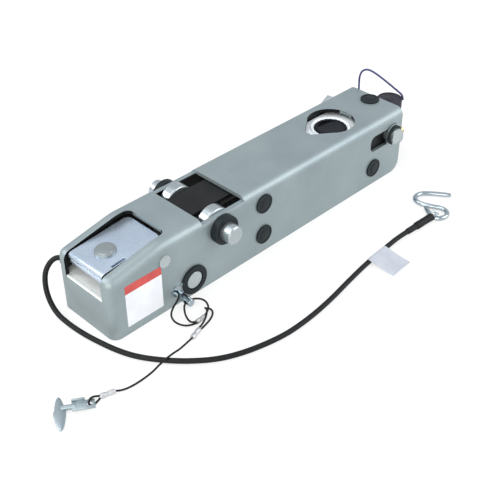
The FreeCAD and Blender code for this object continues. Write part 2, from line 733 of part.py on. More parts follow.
# Master cylinder casting with its reservoir, cover and filler cap
barrel = rod("Barrel", "x", ("cylinder_front", "0", "cylinder_z"), "cylinder_radius",
             "bulkhead_front + bulkhead_wall - cylinder_front")
reservoir_length = "(reservoir_rear - reservoir_front)"
reservoir_block = box("ReservoirBlock", ("reservoir_front", "-reservoir_half", "cylinder_z"),
                      (reservoir_length, "2 * reservoir_half", "reservoir_top - cylinder_z"))
reservoir = rounded("Reservoir", reservoir_block, "reservoir_corner", lambda edge: runs_along(edge, along_z))
bulkhead_foot = "(frame_floor + bulkhead_wall)"
bulkhead = box("Bulkhead", ("bulkhead_front", "-" + frame_inner_width + " / 2", bulkhead_foot),
               ("bulkhead_wall", frame_inner_width, "cylinder_z + cylinder_radius - " + bulkhead_foot))
barrel_bore = rod("BarrelBore", "x", ("cylinder_front", "0", "cylinder_z"), "bore_radius",
                  "piston_rear - cylinder_front + surge_travel + bore_spare")
casting = cut("CylinderCasting", fuse("CylinderBlank", barrel, reservoir, bulkhead), barrel_bore)
keep("master_cylinder", casting)
cover_half = "(reservoir_half + cover_thickness)"
cover_block = box("CoverBlock", ("reservoir_front - cover_thickness", "-" + cover_half, "reservoir_top"),
                  (reservoir_length + " + 2 * cover_thickness", "2 * " + cover_half, "cover_thickness"))
cover = rounded("ReservoirCover", cover_block, "reservoir_corner", lambda edge: runs_along(edge, along_z))
keep("reservoir_cover", cover)

cap_z = "(reservoir_top + cover_thickness + cap_gap)"
cap_bar = rod("CapBar", "z", ("filler_x", "0", cap_z), "cap_radius", "cap_height")
cap_round = rounded("CapRound", cap_bar, "pin_edge", lambda edge: is_round(edge)
                    and edge.Curve.Center.z > size("reservoir_top") + size("cap_height"))
ribs = []
for number in range(int(size("cap_ribs"))):
    turn = "(360 deg * %d / cap_ribs)" % number
    rib_place = ("filler_x + cap_radius * cos(%s)" % turn, "cap_radius * sin(%s)" % turn, cap_z)
    ribs.append(rod("CapRib%d" % number, "z", rib_place, "rib_radius", "cap_height - pin_edge"))
keep("fill_cap", fuse("FillCap", cap_round, *ribs))

# Brake line outlet, brass union and reversing solenoid
bulkhead_rear = "(bulkhead_front + bulkhead_wall)"
outlet_bar = rod("OutletBar", "x", (bulkhead_rear, "outlet_y", "outlet_z"), "outlet_radius",
                 "outlet_rear - " + bulkhead_rear)
outlet_edged = rounded("OutletEdge", outlet_bar, "pin_edge", lambda edge: is_round(edge)
                       and edge.Curve.Center.x > size("outlet_rear") - 1)
stem = rod("CoilStem", "z", ("coil_x", "coil_y", "outlet_z"), "stem_radius", "outlet_radius + coil_edge")
brass_seat = rod("BrassSeat", "x", ("outlet_rear - port_depth", "outlet_y", "outlet_z"),
                 "brass_radius + fit_gap", "2 * port_depth")
keep("outlet_adaptor", cut("OutletAdaptor", fuse("OutletBlank", outlet_edged, stem), brass_seat))
brass_bar = rod("BrassBar", "x", ("outlet_rear - port_depth", "outlet_y", "outlet_z"), "brass_radius",
                "brass_rear - outlet_rear + port_depth")
brass_port = rod("BrassPort", "x", ("brass_rear - port_depth", "outlet_y", "outlet_z"), "port_radius",
                 "2 * port_depth")
keep("brass_union", cut("BrassUnion", brass_bar, brass_port))
coil_bottom = "(outlet_z + outlet_radius + coil_edge)"
coil_bar = rod("CoilBar", "z", ("coil_x", "coil_y", coil_bottom), "coil_radius", "coil_top - " + coil_bottom)
keep("solenoid", rounded("Solenoid", coil_bar, "coil_edge", is_round))

# Breakaway grommet
grommet = tube("GrommetRing", "y", ("grommet_x", "shell_width / 2", "grommet_z"), "grommet_radius",
               cable_bore, "grommet_width")
keep("cable_grommet", rounded("Grommet", grommet, "pin_edge", lambda edge: is_circle_at(
    edge, along_y, half_width + size("grommet_width"), size("grommet_radius"))))


# A cord is straight runs joined by tangent arcs as large as the runs allow.
def cord_path(points):
    corners = [Vector(*point) for point in points]
    lead_in = [corners[0]]
    edges = []
    radii = []
    for before, corner, after in zip(corners, corners[1:], corners[2:]):
        into = (corner - before).normalize()
        away = (after - corner).normalize()
        turn = into.getAngle(away)
        setback = 0.45 * min((corner - before).Length, (after - corner).Length)
        radii.append(setback / math.tan(turn / 2))
        start = corner - into * setback
        end = corner + away * setback
        bulge = (away - into).normalize()
        centre_reach = radii[-1] / math.cos(turn / 2)
        crown = corner + bulge * (centre_reach - radii[-1])
        edges.append(Part.LineSegment(lead_in[-1], start).toShape())
        edges.append(Part.Arc(start, crown, end).toShape())
        lead_in.append(end)
    edges.append(Part.LineSegment(lead_in[-1], corners[-1]).toShape())
    return Part.Wire(edges), radii


def cord(node, points, diameter):
    path, radii = cord_path(points)
    direction = (Vector(*points[1]) - Vector(*points[0])).normalize()
    ring = Part.Wire(Part.makeCircle(diameter / 2, Vector(*points[0]), direction))
    shape = path.makePipeShell([ring], True, False)
    section = math.pi * diameter ** 2 / 4
    print(node, "radii", [round(radius, 1) for radius in radii], "length", round(path.Length, 1),
          "volume ratio", round(shape.Volume / (section * path.Length), 4))
    solid = doc.addObject("Part::Feature", node)
    solid.Shape = shape
    return keep(node, solid)


breakaway_route = [
    (9, 45, 54),
    (9, 54.5, 54),
    (2.5, 62, 50),
    (-7.5, 63.3, 39),
    (-14, 57, 25),
    (-18, 46, 13),
    (-20, 31, 5),
    (-20, 13, 3.2),
    (-19, -8, 3.2),
    (-15.7, -31, 3.2),
    (-8.6, -62, 3.2),
    (2.5, -87, 3.2),
    (29, -121, 3.2),
    (65, -149, 3.2),
    (122, -165, 3.2),
    (164, -166, 3.2),
    (206, -162, 3.2),
    (246, -155, 3.2),
    (287, -149, 3.2),
    (324, -146.5, 3.3),
    (347, -145.5, 4.9),
    (364.7, -146.29, 4.9),
]
cord("breakaway_cable", breakaway_route, size("cable_diameter"))


def between(name, start, end, radius):
    reach = Vector(*end) - Vector(*start)
    solid = doc.addObject("Part::Cylinder", name)
    solid.Placement = FreeCAD.Placement(Vector(*start), Rotation(Vector(0, 0, 1), reach))
    solid.Height = reach.Length
    bind(solid, "Radius", radius)
    return solid


sleeve_start = (365, -146.3, 4.9)
sleeve_step = (381.7, -147.052, 4.9)
sleeve_end = (411.6, -148.4, 4.9)
sleeve_narrow = between("SleeveNarrow", sleeve_start, sleeve_end, "narrow_sleeve_radius")
sleeve_wide = between("SleeveWide", sleeve_step, sleeve_end, "sleeve_radius")
keep("cable_sleeve", fuse("CableSleeve", sleeve_narrow, sleeve_wide))
hook_route = [
    (423, -134, 3.2),
    (414.5, -145, 3.2),
    (415.5, -156, 3.2),
    (426, -160.5, 3.2),
    (436, -156, 3.2),
    (438.5, -146, 3.2),
    (432, -134, 3.2),
    (427.5, -122, 3.2),
    (428, -112, 3.2),
    (436, -105.5, 3.2),
    (447, -107, 3.2),
    (457, -118, 3.2),
    (470, -137, 3.2),
]
cord("safety_hook", hook_route, size("hook_wire"))
tag = doc.addObject("Part::Box", "CableTag")
bind(tag, "Length", "tag_length")
bind(tag, "Width", "tag_width")
bind(tag, "Height", "tag_thickness")
tag_corner = Vector(290.5, -184, 0.6)
tag_turn = Rotation(along_z, size("tag_yaw")).multiply(Rotation(along_x, size("tag_tilt")))
tag.Placement = FreeCAD.Placement(tag_corner, tag_turn)
keep("cable_tag", tag)

# Lock pin with a cross hole, its tether tab and the tether
lock_end = "(-shell_width / 2 - lock_proud)"
lock_bar = rod("LockBar", "y", ("lock_x", lock_end, "lock_z"), "lock_radius", "lock_proud + lock_depth")
lock_round = rounded("LockRound", lock_bar, "pin_edge", is_round)
lock_eye_y = lock_end + " + 2 * lock_hole + pin_edge"
lock_eye = rod("LockEye", "x", ("lock_x - 2 * lock_radius", lock_eye_y, "lock_z"), "lock_hole",
               "4 * lock_radius")
keep("lock_pin", cut("LockPin", lock_round, lock_eye))
tab_eye = rod("TabEye", "y", ("tab_x", "-shell_width / 2 - tab_thickness", "tab_z"), "tab_radius",
              "tab_thickness")
tab_web = box("TabWeb", ("tab_x", "-shell_width / 2 - tab_thickness", "tab_z - tab_radius"),
              ("lower_pin_x - tab_x", "tab_thickness", "2 * tab_radius"))
tab_ring = rod("TabRing", "y", ("lower_pin_x", "-shell_width", "lower_pin_z"), "ring_radius + fit_gap",
               "shell_width")
tab_hole = cross_hole("TabHole", "tab_x", "tab_z", "tab_hole")
keep("tether_tab", cut("TetherTab", fuse("TabBlank", tab_eye, tab_web), tab_ring, tab_hole))

# Tether from the tab through the lock pin, closed as a loop by a ferrule
tether_route = [
    (84.5, -45.4, 20),
    (84.2, -51, 19.6),
    (79, -54, 15.5),
    (71.5, -54, 9.5),
    (65, -57, 4.6),
    (62, -65, 2.3),
    (63.5, -75, 2),
    (69.5, -83, 2.4),
    (77.6, -85.2, 2.9),
]
loop_route = [
    (91.5, -82.4, 3.2),
    (99.5, -80, 4.2),
    (106, -72, 4.6),
    (106.5, -63, 6),
    (98.5, -55, 6.4),
    (86.5, -55, 6.4),
    (79.5, -63, 3.5),
    (75, -72, 2.5),
    (73.4, -80.5, 2.6),
    (77.3, -82.6, 2.9),
]
thin = size("cord_diameter")
cord("tether_cable", tether_route, thin)
cord("tether_loop", loop_route, thin)
tether_ferrule = ((78, -84, 2.9), (91, -83.5, 2.9))
keep("tether_ferrule", between("TetherFerrule", *tether_ferrule, "ferrule_radius"))

# Lanyard with an eye round the tether loop and an eye in the lockout key
loop_eye_route = [
    (73.6, -94.9, 2),
    (84, -92.5, 1.4),
    (95, -89, 1.2),
    (103, -83.5, 1.2),
    (105, -77, 1.2),
    (100, -73.5, 2.8),
    (97.5, -77, 7),
    (95, -83, 9),
    (86, -90, 7.5),
    (77, -93, 4.5),
    (73.3, -93, 3.8),
]
lanyard_route = [
    (57.6, -98.93, 2.9),
    (38, -103, 3.5),
    (28, -105, 6.5),
    (17, -106.5, 7.6),
    (6, -107.5, 6.5),
    (-6, -108.3, 3),
    (-28, -107.5, 1.3),
    (-42, -104.5, 1.6),
    (-46.4, -101.68, 2.9),
]
key_eye_route = [
    (-62.5, -96.2, 3.4),
    (-68, -94.5, 6.2),
    (-74, -95.5, 6.5),
    (-76.5, -97.5, 3),
    (-74, -99.5, 1.2),
    (-68, -99.5, 1.3),
    (-63.1, -98, 2.2),
]
cord("lanyard_loop_eye", loop_eye_route, thin)
cord("lanyard", lanyard_route, thin)
cord("lanyard_key_eye", key_eye_route, thin)
loop_ferrule = ((73, -94, 2.9), (58, -98.8, 2.9))
key_ferrule = ((-47, -101.5, 2.9), (-62, -97, 2.9))
keep("lanyard_ferrules", group("LanyardFerrules", between("LoopFerrule", *loop_ferrule, "ferrule_radius"),
                               between("KeyFerrule", *key_ferrule, "ferrule_radius")))

# Lockout key: a leaf-shaped cross bar on a stem, with a folded eye at its other end
key_eye = Vector(-76.5, -97.5, 0)
key_turn = Rotation(along_z, size("key_turn"))


def key_sheet(name, corners, bottom, thickness):
    sketch = outline(name + "Outline", key_turn, corners)
    sketch.Placement = FreeCAD.Placement(key_eye + along_z * size(bottom), key_turn)
    return extruded(name, sketch, thickness, False)


key_bar = key_sheet("KeyBar", [
    ("-24", "14"),
    ("-26", "17"),
    ("-29", "17"),
    ("-31.5", "13"),
    ("-32", "2"),
    ("-34.5", "-7"),
    ("-31.5", "-25"),
    ("-29.5", "-29"),
    ("-27.5", "-29"),
    ("-25.5", "-25"),
    ("-22.5", "-9"),
    ("-24", "2"),
], "key_bar_bottom", "key_thickness")
key_leaf = key_sheet("KeyLeaf", [
    ("-16", "-3"),
    ("-12", "-key_leaf_half"),
    ("3", "-key_leaf_half"),
    ("6.5", "-3"),
    ("6.5", "3"),
    ("3", "key_leaf_half"),
    ("-13", "key_leaf_half"),
    ("-16", "3"),
], "key_leaf_bottom", "key_leaf")
key_flange = key_sheet("KeyFlange", [
    ("-13", "key_leaf_half"),
    ("-13", "key_leaf_half - key_leaf"),
    ("-3", "key_leaf_half - key_leaf"),
    ("-3", "key_leaf_half"),
], "key_leaf_bottom", "key_flange")


def key_spot(x, y, z):
    return key_eye + key_turn.multVec(Vector(x, y, z))


key_stem = between("KeyStem", key_spot(size("key_stem_front"), 0, size("key_stem_z")),
                   key_spot(size("key_stem_rear"), 0, size("key_stem_z")), "key_stem")
key_hole_foot = key_spot(1.2, 0.4, 0)
key_hole_top = key_hole_foot + along_z * (size("key_leaf_bottom") + size("key_flange"))
key_hole = between("KeyHole", key_hole_foot, key_hole_top, "key_hole")
keep("lockout_key", cut("LockoutKey", fuse("KeyBlank", key_bar, key_leaf, key_flange, key_stem), key_hole))

# Lead of the reversing solenoid
lead_route = [
    (466, 30, 77.3),
    (475, 30.5, 77.8),
    (482.5, 32, 85),
    (484, 34, 95),
    (483.5, 33.5, 105.5),
    (482, 29, 115),
    (483, 21, 119.8),
    (487, 12.5, 116.5),
    (494, 4, 108.5),
    (502, -4, 99),
    (509.5, -11.5, 90),
    (514.2, -17.2, 83.5),
    (513.9, -17.7, 77.5),
]
cord("solenoid_lead", lead_route, size("lead_diameter"))

# Builds every piece, and stops at one that failed
doc.recompute()
for item in doc.Objects:
    if "Invalid" in item.State or "Error" in item.State:
        raise RuntimeError("failed: " + item.Name)
os.makedirs("parts", exist_ok=True)
for solid in parts:
    if solid.Shape.isNull() or not solid.Shape.isValid():
        raise RuntimeError("bad shape: " + solid.Label)
for solid in parts:
    solid.Shape.exportStep("parts/" + solid.Label + ".step")
    print(solid.Label, len(solid.Shape.Solids), round(solid.Shape.Volume / 1000, 2))
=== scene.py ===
import bmesh
import bpy
import json
import math
from mathutils import Matrix, Vector


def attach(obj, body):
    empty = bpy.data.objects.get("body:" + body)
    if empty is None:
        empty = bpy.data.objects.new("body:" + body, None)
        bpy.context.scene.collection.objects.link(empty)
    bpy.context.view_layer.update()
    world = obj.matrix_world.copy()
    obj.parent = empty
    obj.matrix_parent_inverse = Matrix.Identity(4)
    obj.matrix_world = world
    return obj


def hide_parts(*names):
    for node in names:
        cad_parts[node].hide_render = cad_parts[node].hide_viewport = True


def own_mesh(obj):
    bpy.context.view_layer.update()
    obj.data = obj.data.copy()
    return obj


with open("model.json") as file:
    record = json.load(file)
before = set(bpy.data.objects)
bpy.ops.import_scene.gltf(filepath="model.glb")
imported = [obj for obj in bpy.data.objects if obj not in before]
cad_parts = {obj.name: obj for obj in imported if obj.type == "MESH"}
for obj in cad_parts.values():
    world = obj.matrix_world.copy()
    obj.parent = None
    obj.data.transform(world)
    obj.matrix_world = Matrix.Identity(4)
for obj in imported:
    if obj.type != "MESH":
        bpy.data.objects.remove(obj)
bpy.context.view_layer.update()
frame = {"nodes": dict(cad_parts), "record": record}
nodes = frame["nodes"]
quarterTurn = math.pi / 2
print("frame loaded:", len(nodes), "nodes")


def metres(value):
    return value / 1000


def mm(*values):
    return tuple(metres(value) for value in values)


def closeForm():
    if bpy.context.mode != "OBJECT":
        bpy.ops.object.mode_set(mode="OBJECT")


def letGo():
    closeForm()
    bpy.ops.object.select_all(action="DESELECT")


# materials: a soft cloud in the colour, a fine grain in the gloss and the bump
noiseLook = {"cloud": (4, 0.55), "grain": (3, 0.6), "span": (0.3, 0.7)}


def startMaterial(name):
    material = bpy.data.materials.new(name)
    material.use_nodes = True
    tree = material.node_tree
    return material, tree, tree.nodes["Principled BSDF"]


def noiseOf(tree, place, scale, kind, stretch=(1, 1, 1)):
    mapping = tree.nodes.new("ShaderNodeMapping")
    mapping.inputs["Scale"].default_value = stretch
    noise = tree.nodes.new("ShaderNodeTexNoise")
    noise.inputs["Scale"].default_value = scale
    noise.inputs["Detail"].default_value, noise.inputs["Roughness"].default_value = noiseLook[kind]
    tree.links.new(place.outputs["Object"], mapping.inputs["Vector"])
    tree.links.new(mapping.outputs["Vector"], noise.inputs["Vector"])
    return noise.outputs["Fac"]


def rangeOf(tree, value, low, high):
    span = tree.nodes.new("ShaderNodeMapRange")
    span.inputs["From Min"].default_value, span.inputs["From Max"].default_value = noiseLook["span"]
    span.inputs["To Min"].default_value = low
    span.inputs["To Max"].default_value = high
    tree.links.new(value, span.inputs["Value"])
    return span.outputs["Result"]


def blendOf(tree, value, dark, light):
    ramp = tree.nodes.new("ShaderNodeValToRGB")
    for stop, position, colour in zip(ramp.color_ramp.elements, noiseLook["span"], (dark, light)):
        stop.position = position
        stop.color = (*colour, 1)
    tree.links.new(value, ramp.inputs["Fac"])
    return ramp.outputs["Color"]


def bumpOf(tree, shader, height, strength, distance):
    bump = tree.nodes.new("ShaderNodeBump")
    bump.inputs["Strength"].default_value = strength
    bump.inputs["Distance"].default_value = distance
    tree.links.new(height, bump.inputs["Height"])
    tree.links.new(bump.outputs["Normal"], shader.inputs["Normal"])


def surface(name, look):
    material, tree, shader = startMaterial(name)
    place = tree.nodes.new("ShaderNodeTexCoord")
    cloud = noiseOf(tree, place, look["cloudScale"], "cloud")
    tree.links.new(blendOf(tree, cloud, look["dark"], look["light"]), shader.inputs["Base Color"])
    grain = noiseOf(tree, place, look["grainScale"], "grain", look.get("grainStretch", (1, 1, 1)))
    tree.links.new(rangeOf(tree, grain, *look["rough"]), shader.inputs["Roughness"])
    bumpOf(tree, shader, grain, look["bump"], look["bumpDepth"])
    shader.inputs["Metallic"].default_value = look["metal"]
    shader.inputs["Specular IOR Level"].default_value = look.get("specular", 0.5)
    return material


zincSheet = {
    "dark": (0.262, 0.316, 0.335), "light": (0.316, 0.374, 0.388), "metal": 0.75, "cloudScale": 18,
    "grainScale": 900, "rough": (0.44, 0.56), "bump": 0.12, "bumpDepth": 0.0001}
brightZinc = {
    "dark": (0.46, 0.55, 0.66), "light": (0.55, 0.64, 0.75), "metal": 0.85, "cloudScale": 40,
    "grainScale": 700, "grainStretch": (1, 6, 1), "rough": (0.22, 0.36), "bump": 0.1, "bumpDepth": 0.0001}
pinSteel = {
    "dark": (0.4, 0.45, 0.47), "light": (0.46, 0.51, 0.53), "metal": 0.9, "cloudScale": 40,
    "grainScale": 1100, "rough": (0.24, 0.32), "bump": 0.05, "bumpDepth": 0.0001}
wireSteel = {
    "dark": (0.36, 0.42, 0.46), "light": (0.42, 0.48, 0.52), "metal": 0.95, "cloudScale": 40,
    "grainScale": 1200, "rough": (0.16, 0.22), "bump": 0.02, "bumpDepth": 0.0001}
blackPaint = {
    "dark": (0.004, 0.005, 0.006), "light": (0.008, 0.009, 0.01), "metal": 0.0, "specular": 0.2,
    "cloudScale": 50, "grainScale": 1400, "rough": (0.38, 0.55), "bump": 0.12, "bumpDepth": 0.00015}
castIron = {
    "dark": (0.03, 0.03, 0.03), "light": (0.07, 0.07, 0.068), "metal": 0.3, "cloudScale": 60,
    "grainScale": 500, "rough": (0.55, 0.75), "bump": 0.3, "bumpDepth": 0.0004}
castAlloy = {
    "dark": (0.33, 0.34, 0.35), "light": (0.45, 0.46, 0.47), "metal": 0.7, "cloudScale": 60,
    "grainScale": 450, "rough": (0.45, 0.65), "bump": 0.3, "bumpDepth": 0.0003}
blackPlastic = {
    "dark": (0.005, 0.009, 0.011), "light": (0.009, 0.015, 0.018), "metal": 0.0, "specular": 0.2,
    "cloudScale": 80, "grainScale": 1600, "rough": (0.42, 0.6), "bump": 0.15, "bumpDepth": 0.00012}
coilPlastic = {
    "dark": (0.016, 0.016, 0.024), "light": (0.026, 0.026, 0.036), "metal": 0.0, "specular": 0.28,
    "cloudScale": 70, "grainScale": 1500, "rough": (0.4, 0.58), "bump": 0.12, "bumpDepth": 0.00012}
capPlastic = {
    "dark": (0.009, 0.011, 0.015), "light": (0.014, 0.016, 0.021), "metal": 0.0, "specular": 0.16,
    "cloudScale": 60, "grainScale": 1600, "rough": (0.5, 0.65), "bump": 0.15, "bumpDepth": 0.00012}
blackRubber = {
    "dark": (0.004, 0.005, 0.006), "light": (0.008, 0.009, 0.01), "metal": 0.0, "specular": 0.2,
    "cloudScale": 150, "grainScale": 1800, "rough": (0.4, 0.6), "bump": 0.15, "bumpDepth": 0.0001}
blueLead = {
    "dark": (0.02, 0.022, 0.1), "light": (0.035, 0.038, 0.14), "metal": 0.0, "cloudScale": 150,
    "grainScale": 1800, "rough": (0.35, 0.5), "bump": 0.1, "bumpDepth": 0.0001}
whiteTag = {
    "dark": (0.36, 0.385, 0.44), "light": (0.43, 0.455, 0.515), "metal": 0.0, "cloudScale": 60,
    "grainScale": 1200, "rough": (0.45, 0.6), "bump": 0.1, "bumpDepth": 0.0001}
paleFerrule = {
    "dark": (0.42, 0.43, 0.45), "light": (0.55, 0.56, 0.58), "metal": 0.7, "cloudScale": 200,
    "grainScale": 1500, "rough": (0.3, 0.5), "bump": 0.12, "bumpDepth": 0.0001}
paleCast = {
    "dark": (0.62, 0.66, 0.66), "light": (0.74, 0.77, 0.76), "metal": 0.05, "cloudScale": 90,
    "grainScale": 600, "rough": (0.5, 0.7), "bump": 0.25, "bumpDepth": 0.0002}
plateWhite = {
    "dark": (0.6, 0.62, 0.66), "light": (0.7, 0.72, 0.76), "metal": 0.0, "cloudScale": 40,
    "grainScale": 1500, "rough": (0.3, 0.4), "bump": 0.05, "bumpDepth": 0.0001}
plateRed = {
    "dark": (0.4, 0.045, 0.04), "light": (0.5, 0.065, 0.055), "metal": 0.0, "cloudScale": 40,
    "grainScale": 1500, "rough": (0.3, 0.4), "bump": 0.05, "bumpDepth": 0.0001}
keySteel = {
    "dark": (0.3, 0.36, 0.39), "light": (0.36, 0.42, 0.45), "metal": 0.85, "cloudScale": 40,
    "grainScale": 900, "rough": (0.3, 0.42), "bump": 0.06, "bumpDepth": 0.0001}
rivetSteel = {
    "dark": (0.28, 0.32, 0.33), "light": (0.34, 0.38, 0.39), "metal": 0.9, "cloudScale": 60,
    "grainScale": 800, "rough": (0.3, 0.42), "bump": 0.08, "bumpDepth": 0.0001}
# pale steel colour, lightened further as painted light against the shade of the filler opening
coverSteelPaintedLight = {
    "dark": (0.74, 0.8, 0.85), "light": (0.85, 0.9, 0.93), "metal": 0.15, "cloudScale": 40,
    "grainScale": 700, "rough": (0.25, 0.4), "bump": 0.08, "bumpDepth": 0.0001}
yellowBrass = {
    "dark": (0.5, 0.42, 0.24), "light": (0.66, 0.58, 0.36), "metal": 0.9, "cloudScale": 120,
    "grainScale": 1200, "rough": (0.25, 0.42), "bump": 0.1, "bumpDepth": 0.0001}

finishes = {
    "shell_steel": surface("zincSheet", zincSheet),
    "latch_steel": surface("brightZinc", brightZinc),
    "pin_steel": surface("pinSteel", pinSteel),
    "roller_steel": surface("rollerSteel", pinSteel),
    "hook_steel": surface("wireSteel", wireSteel),
    "black_paint": surface("blackPaint", blackPaint),
    "cast_clamp": surface("castIron", castIron),
    "cast_cylinder": surface("castAlloy", castAlloy),
    "black_plastic": surface("blackPlastic", blackPlastic),
    "coil_plastic": surface("coilPlastic", coilPlastic),
    "black_rubber": surface("blackRubber", blackRubber),
    "blue_lead": surface("blueLead", blueLead),
    "tag_plastic": surface("whiteTag", whiteTag),
    "ferrule_metal": surface("paleFerrule", paleFerrule),
    "brass": surface("yellowBrass", yellowBrass),
}
for entry in frame["record"]["subparts"]:
    nodes[entry["node"]].data.materials.clear()
    nodes[entry["node"]].data.materials.append(finishes[entry["material_slot"]])
socketFinish = surface("paleCast", paleCast)
coverFinish = surface("coverSteelPaintedLight", coverSteelPaintedLight)
nodes["ball_socket"].data.materials[0] = socketFinish
nodes["reservoir_cover"].data.materials[0] = coverFinish

# painted shade: the pressed sheet's faces that look towards the middle of the channel get a dark base
# colour, for the shade inside the shell
insideShadeLook = {"colour": (0.012, 0.013, 0.014), "axisHeight": 0.04, "margin": -0.003}
mixSockets = {"share": 0, "outer": 6, "inner": 7, "result": 2}  # the Mix node's colour sockets


def mathOf(tree, operation, first, second):
    node = tree.nodes.new("ShaderNodeMath")
    node.operation = operation
    for socket, value in zip(node.inputs, (first, second)):
        if isinstance(value, float):
            socket.default_value = value
        else:
            tree.links.new(value, socket)
    return node.outputs["Value"]


# paints shade: mixes the sheet's colour to near black on faces that look inward
def paintInsideShade(material, look):
    tree = material.node_tree
    shader = tree.nodes["Principled BSDF"]
    place = tree.nodes["Texture Coordinate"]
    facing = tree.nodes.new("ShaderNodeSeparateXYZ")
    spot = tree.nodes.new("ShaderNodeSeparateXYZ")
    tree.links.new(place.outputs["Normal"], facing.inputs[0])
    tree.links.new(place.outputs["Object"], spot.inputs[0])
    sideways = mathOf(tree, "MULTIPLY", facing.outputs["Y"], spot.outputs["Y"])
    above = mathOf(tree, "SUBTRACT", spot.outputs["Z"], look["axisHeight"])
    outward = mathOf(tree, "ADD", sideways, mathOf(tree, "MULTIPLY", facing.outputs["Z"], above))
    isInside = mathOf(tree, "LESS_THAN", outward, look["margin"])
    mix = tree.nodes.new("ShaderNodeMix")
    mix.data_type = "RGBA"
    tree.links.new(isInside, mix.inputs[mixSockets["share"]])
    sheetColour = shader.inputs["Base Color"].links[0].from_socket
    tree.links.new(sheetColour, mix.inputs[mixSockets["outer"]])
    mix.inputs[mixSockets["inner"]].default_value = (*look["colour"], 1)
    tree.links.new(mix.outputs[mixSockets["result"]], shader.inputs["Base Color"])


paintInsideShade(finishes["shell_steel"], insideShadeLook)
print("finishes:", len(finishes))

# shaping helpers for the new pieces
squarely = 0.9  # how straight a face has to look along an axis to be picked
smoothAngle = math.radians(32)


def openForm(piece, kind):
    if bpy.context.mode != "EDIT_MESH":
        bpy.ops.object.mode_set(mode="EDIT")
    bpy.ops.mesh.select_mode(type=kind)
    bpy.ops.mesh.select_all(action="DESELECT")
    return bmesh.from_edit_mesh(piece.data)


def pickFaces(piece, wanted):
    form = openForm(piece, "FACE")
    form.normal_update()
    for face in form.faces:
        face.select_set(wanted(face))
    bmesh.update_edit_mesh(piece.data)


def pickEdges(piece, wanted):
    form = openForm(piece, "EDGE")
    for edge in form.edges:
        start, end = (corner.co for corner in edge.verts)
        edge.select_set(wanted((start + end) / 2, end - start))
    bmesh.update_edit_mesh(piece.data)


def looksUp(face):
    return face.normal.z > squarely


def looksDown(face):
    return face.normal.z < -squarely


def pushOut(x, y, z):
    bpy.ops.mesh.extrude_region_move(TRANSFORM_OT_translate={"value": mm(x, y, z)})


def insetBy(width):
    bpy.ops.mesh.inset(thickness=metres(width))


def cutAt(spot, normal):
    bpy.ops.mesh.select_all(action="SELECT")
    bpy.ops.mesh.bisect(plane_co=mm(*spot), plane_no=normal)


def roundEdges(width, steps):
    bpy.ops.mesh.bevel(offset=metres(width), segments=steps, affect="EDGES")


def softenEdges(piece, width, steps=2, angle=35):
    closeForm()
    bevel = piece.modifiers.new("softEdge", "BEVEL")
    bevel.width = metres(width)
    bevel.segments = steps
    bevel.limit_method = "ANGLE"
    bevel.angle_limit = math.radians(angle)
    bpy.context.view_layer.objects.active = piece
    bpy.ops.object.modifier_apply(modifier="softEdge")


def thickened(piece, thickness, offset):
    solid = piece.modifiers.new("thicken", "SOLIDIFY")
    solid.thickness = metres(thickness)
    solid.offset = offset
    bpy.context.view_layer.objects.active = piece
    bpy.ops.object.modifier_apply(modifier="thicken")


def applyPlace():
    bpy.ops.object.transform_apply(location=True, rotation=True, scale=True)


def settle(piece, name, body, slot, *replaced):
    letGo()
    piece.select_set(True)
    bpy.context.view_layer.objects.active = piece
    applyPlace()
    bpy.ops.object.shade_smooth_by_angle(angle=smoothAngle)
    piece.name = name
    piece.data.name = name
    if not piece.data.materials:
        piece.data.materials.append(finishes[slot])
    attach(piece, body)
    if replaced:
        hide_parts(*replaced)
    return piece


def startCylinder(radius, depth, middle, sides=72, turn=(0, 0, 0)):
    letGo()
    bpy.ops.mesh.primitive_cylinder_add(vertices=sides, radius=metres(radius), depth=metres(depth),
                                        location=mm(*middle), rotation=turn)
    applyPlace()
    return bpy.context.object


def blockBetween(low, high):
    letGo()
    bpy.ops.mesh.primitive_cube_add(size=1, location=mm(*[(a + b) / 2 for a, b in zip(low, high)]))
    block = bpy.context.object
    block.scale = mm(*[b - a for a, b in zip(low, high)])
    applyPlace()
    return block


def holed(piece, radius, depth, middle, turn=(0, 0, 0), sides=64):
    tool = startCylinder(radius, depth, middle, sides, turn)
    letGo()
    bpy.context.view_layer.objects.active = piece
    hole = piece.modifiers.new("hole", "BOOLEAN")
    hole.operation = "DIFFERENCE"
    hole.object = tool
    bpy.ops.object.modifier_apply(modifier="hole")
    bpy.data.objects.remove(tool)


def joined(pieces):
    letGo()
    for piece in pieces:
        piece.select_set(True)
    bpy.context.view_layer.objects.active = pieces[0]
    bpy.ops.object.join()
    return pieces[0]


def shown(name, data):
    piece = bpy.data.objects.new(name, data)
    bpy.context.scene.collection.objects.link(piece)
    return piece


def copied(piece, matrix):
    twin = shown(piece.name, piece.data.copy())
    twin.data.transform(matrix)
    return twin


# access plugs with a shallow dish and a stem
plugLook = {
    "radius": 12, "cap": 2, "stem": 5.5, "stemInset": 2.5, "rim": 1.3, "dish": 0.35, "boss": 4.2,
    "bossShare": 0.6, "edge": 0.3, "wall": 45, "sidePlaces": [(221, 68), (221, 25), (423, 25)],
    "topPlace": (465, 0, 90)}
plug = startCylinder(plugLook["radius"], plugLook["cap"], (0, 0, plugLook["cap"] / 2))
pickFaces(plug, looksUp)
insetBy(plugLook["rim"])
pushOut(0, 0, -plugLook["dish"])
insetBy(plugLook["boss"])
pushOut(0, 0, plugLook["dish"] * plugLook["bossShare"])
pickFaces(plug, looksDown)
insetBy(plugLook["stemInset"])
pushOut(0, 0, -plugLook["stem"])
softenEdges(plug, plugLook["edge"])
sidePlugs = []
for x, z in plugLook["sidePlaces"]:
    for side in (-1, 1):
        place = Matrix.Translation(mm(x, side * plugLook["wall"], z))
        sidePlugs.append(copied(plug, place @ Matrix.Rotation(-side * quarterTurn, 4, "X")))
settle(joined(sidePlugs), "sidePlugs", "shell", "black_plastic", "side_plugs")
plug.data.transform(Matrix.Translation(mm(*plugLook["topPlace"])))
settle(plug, "topPlug", "shell", "black_plastic", "top_plug")
print("plugs")

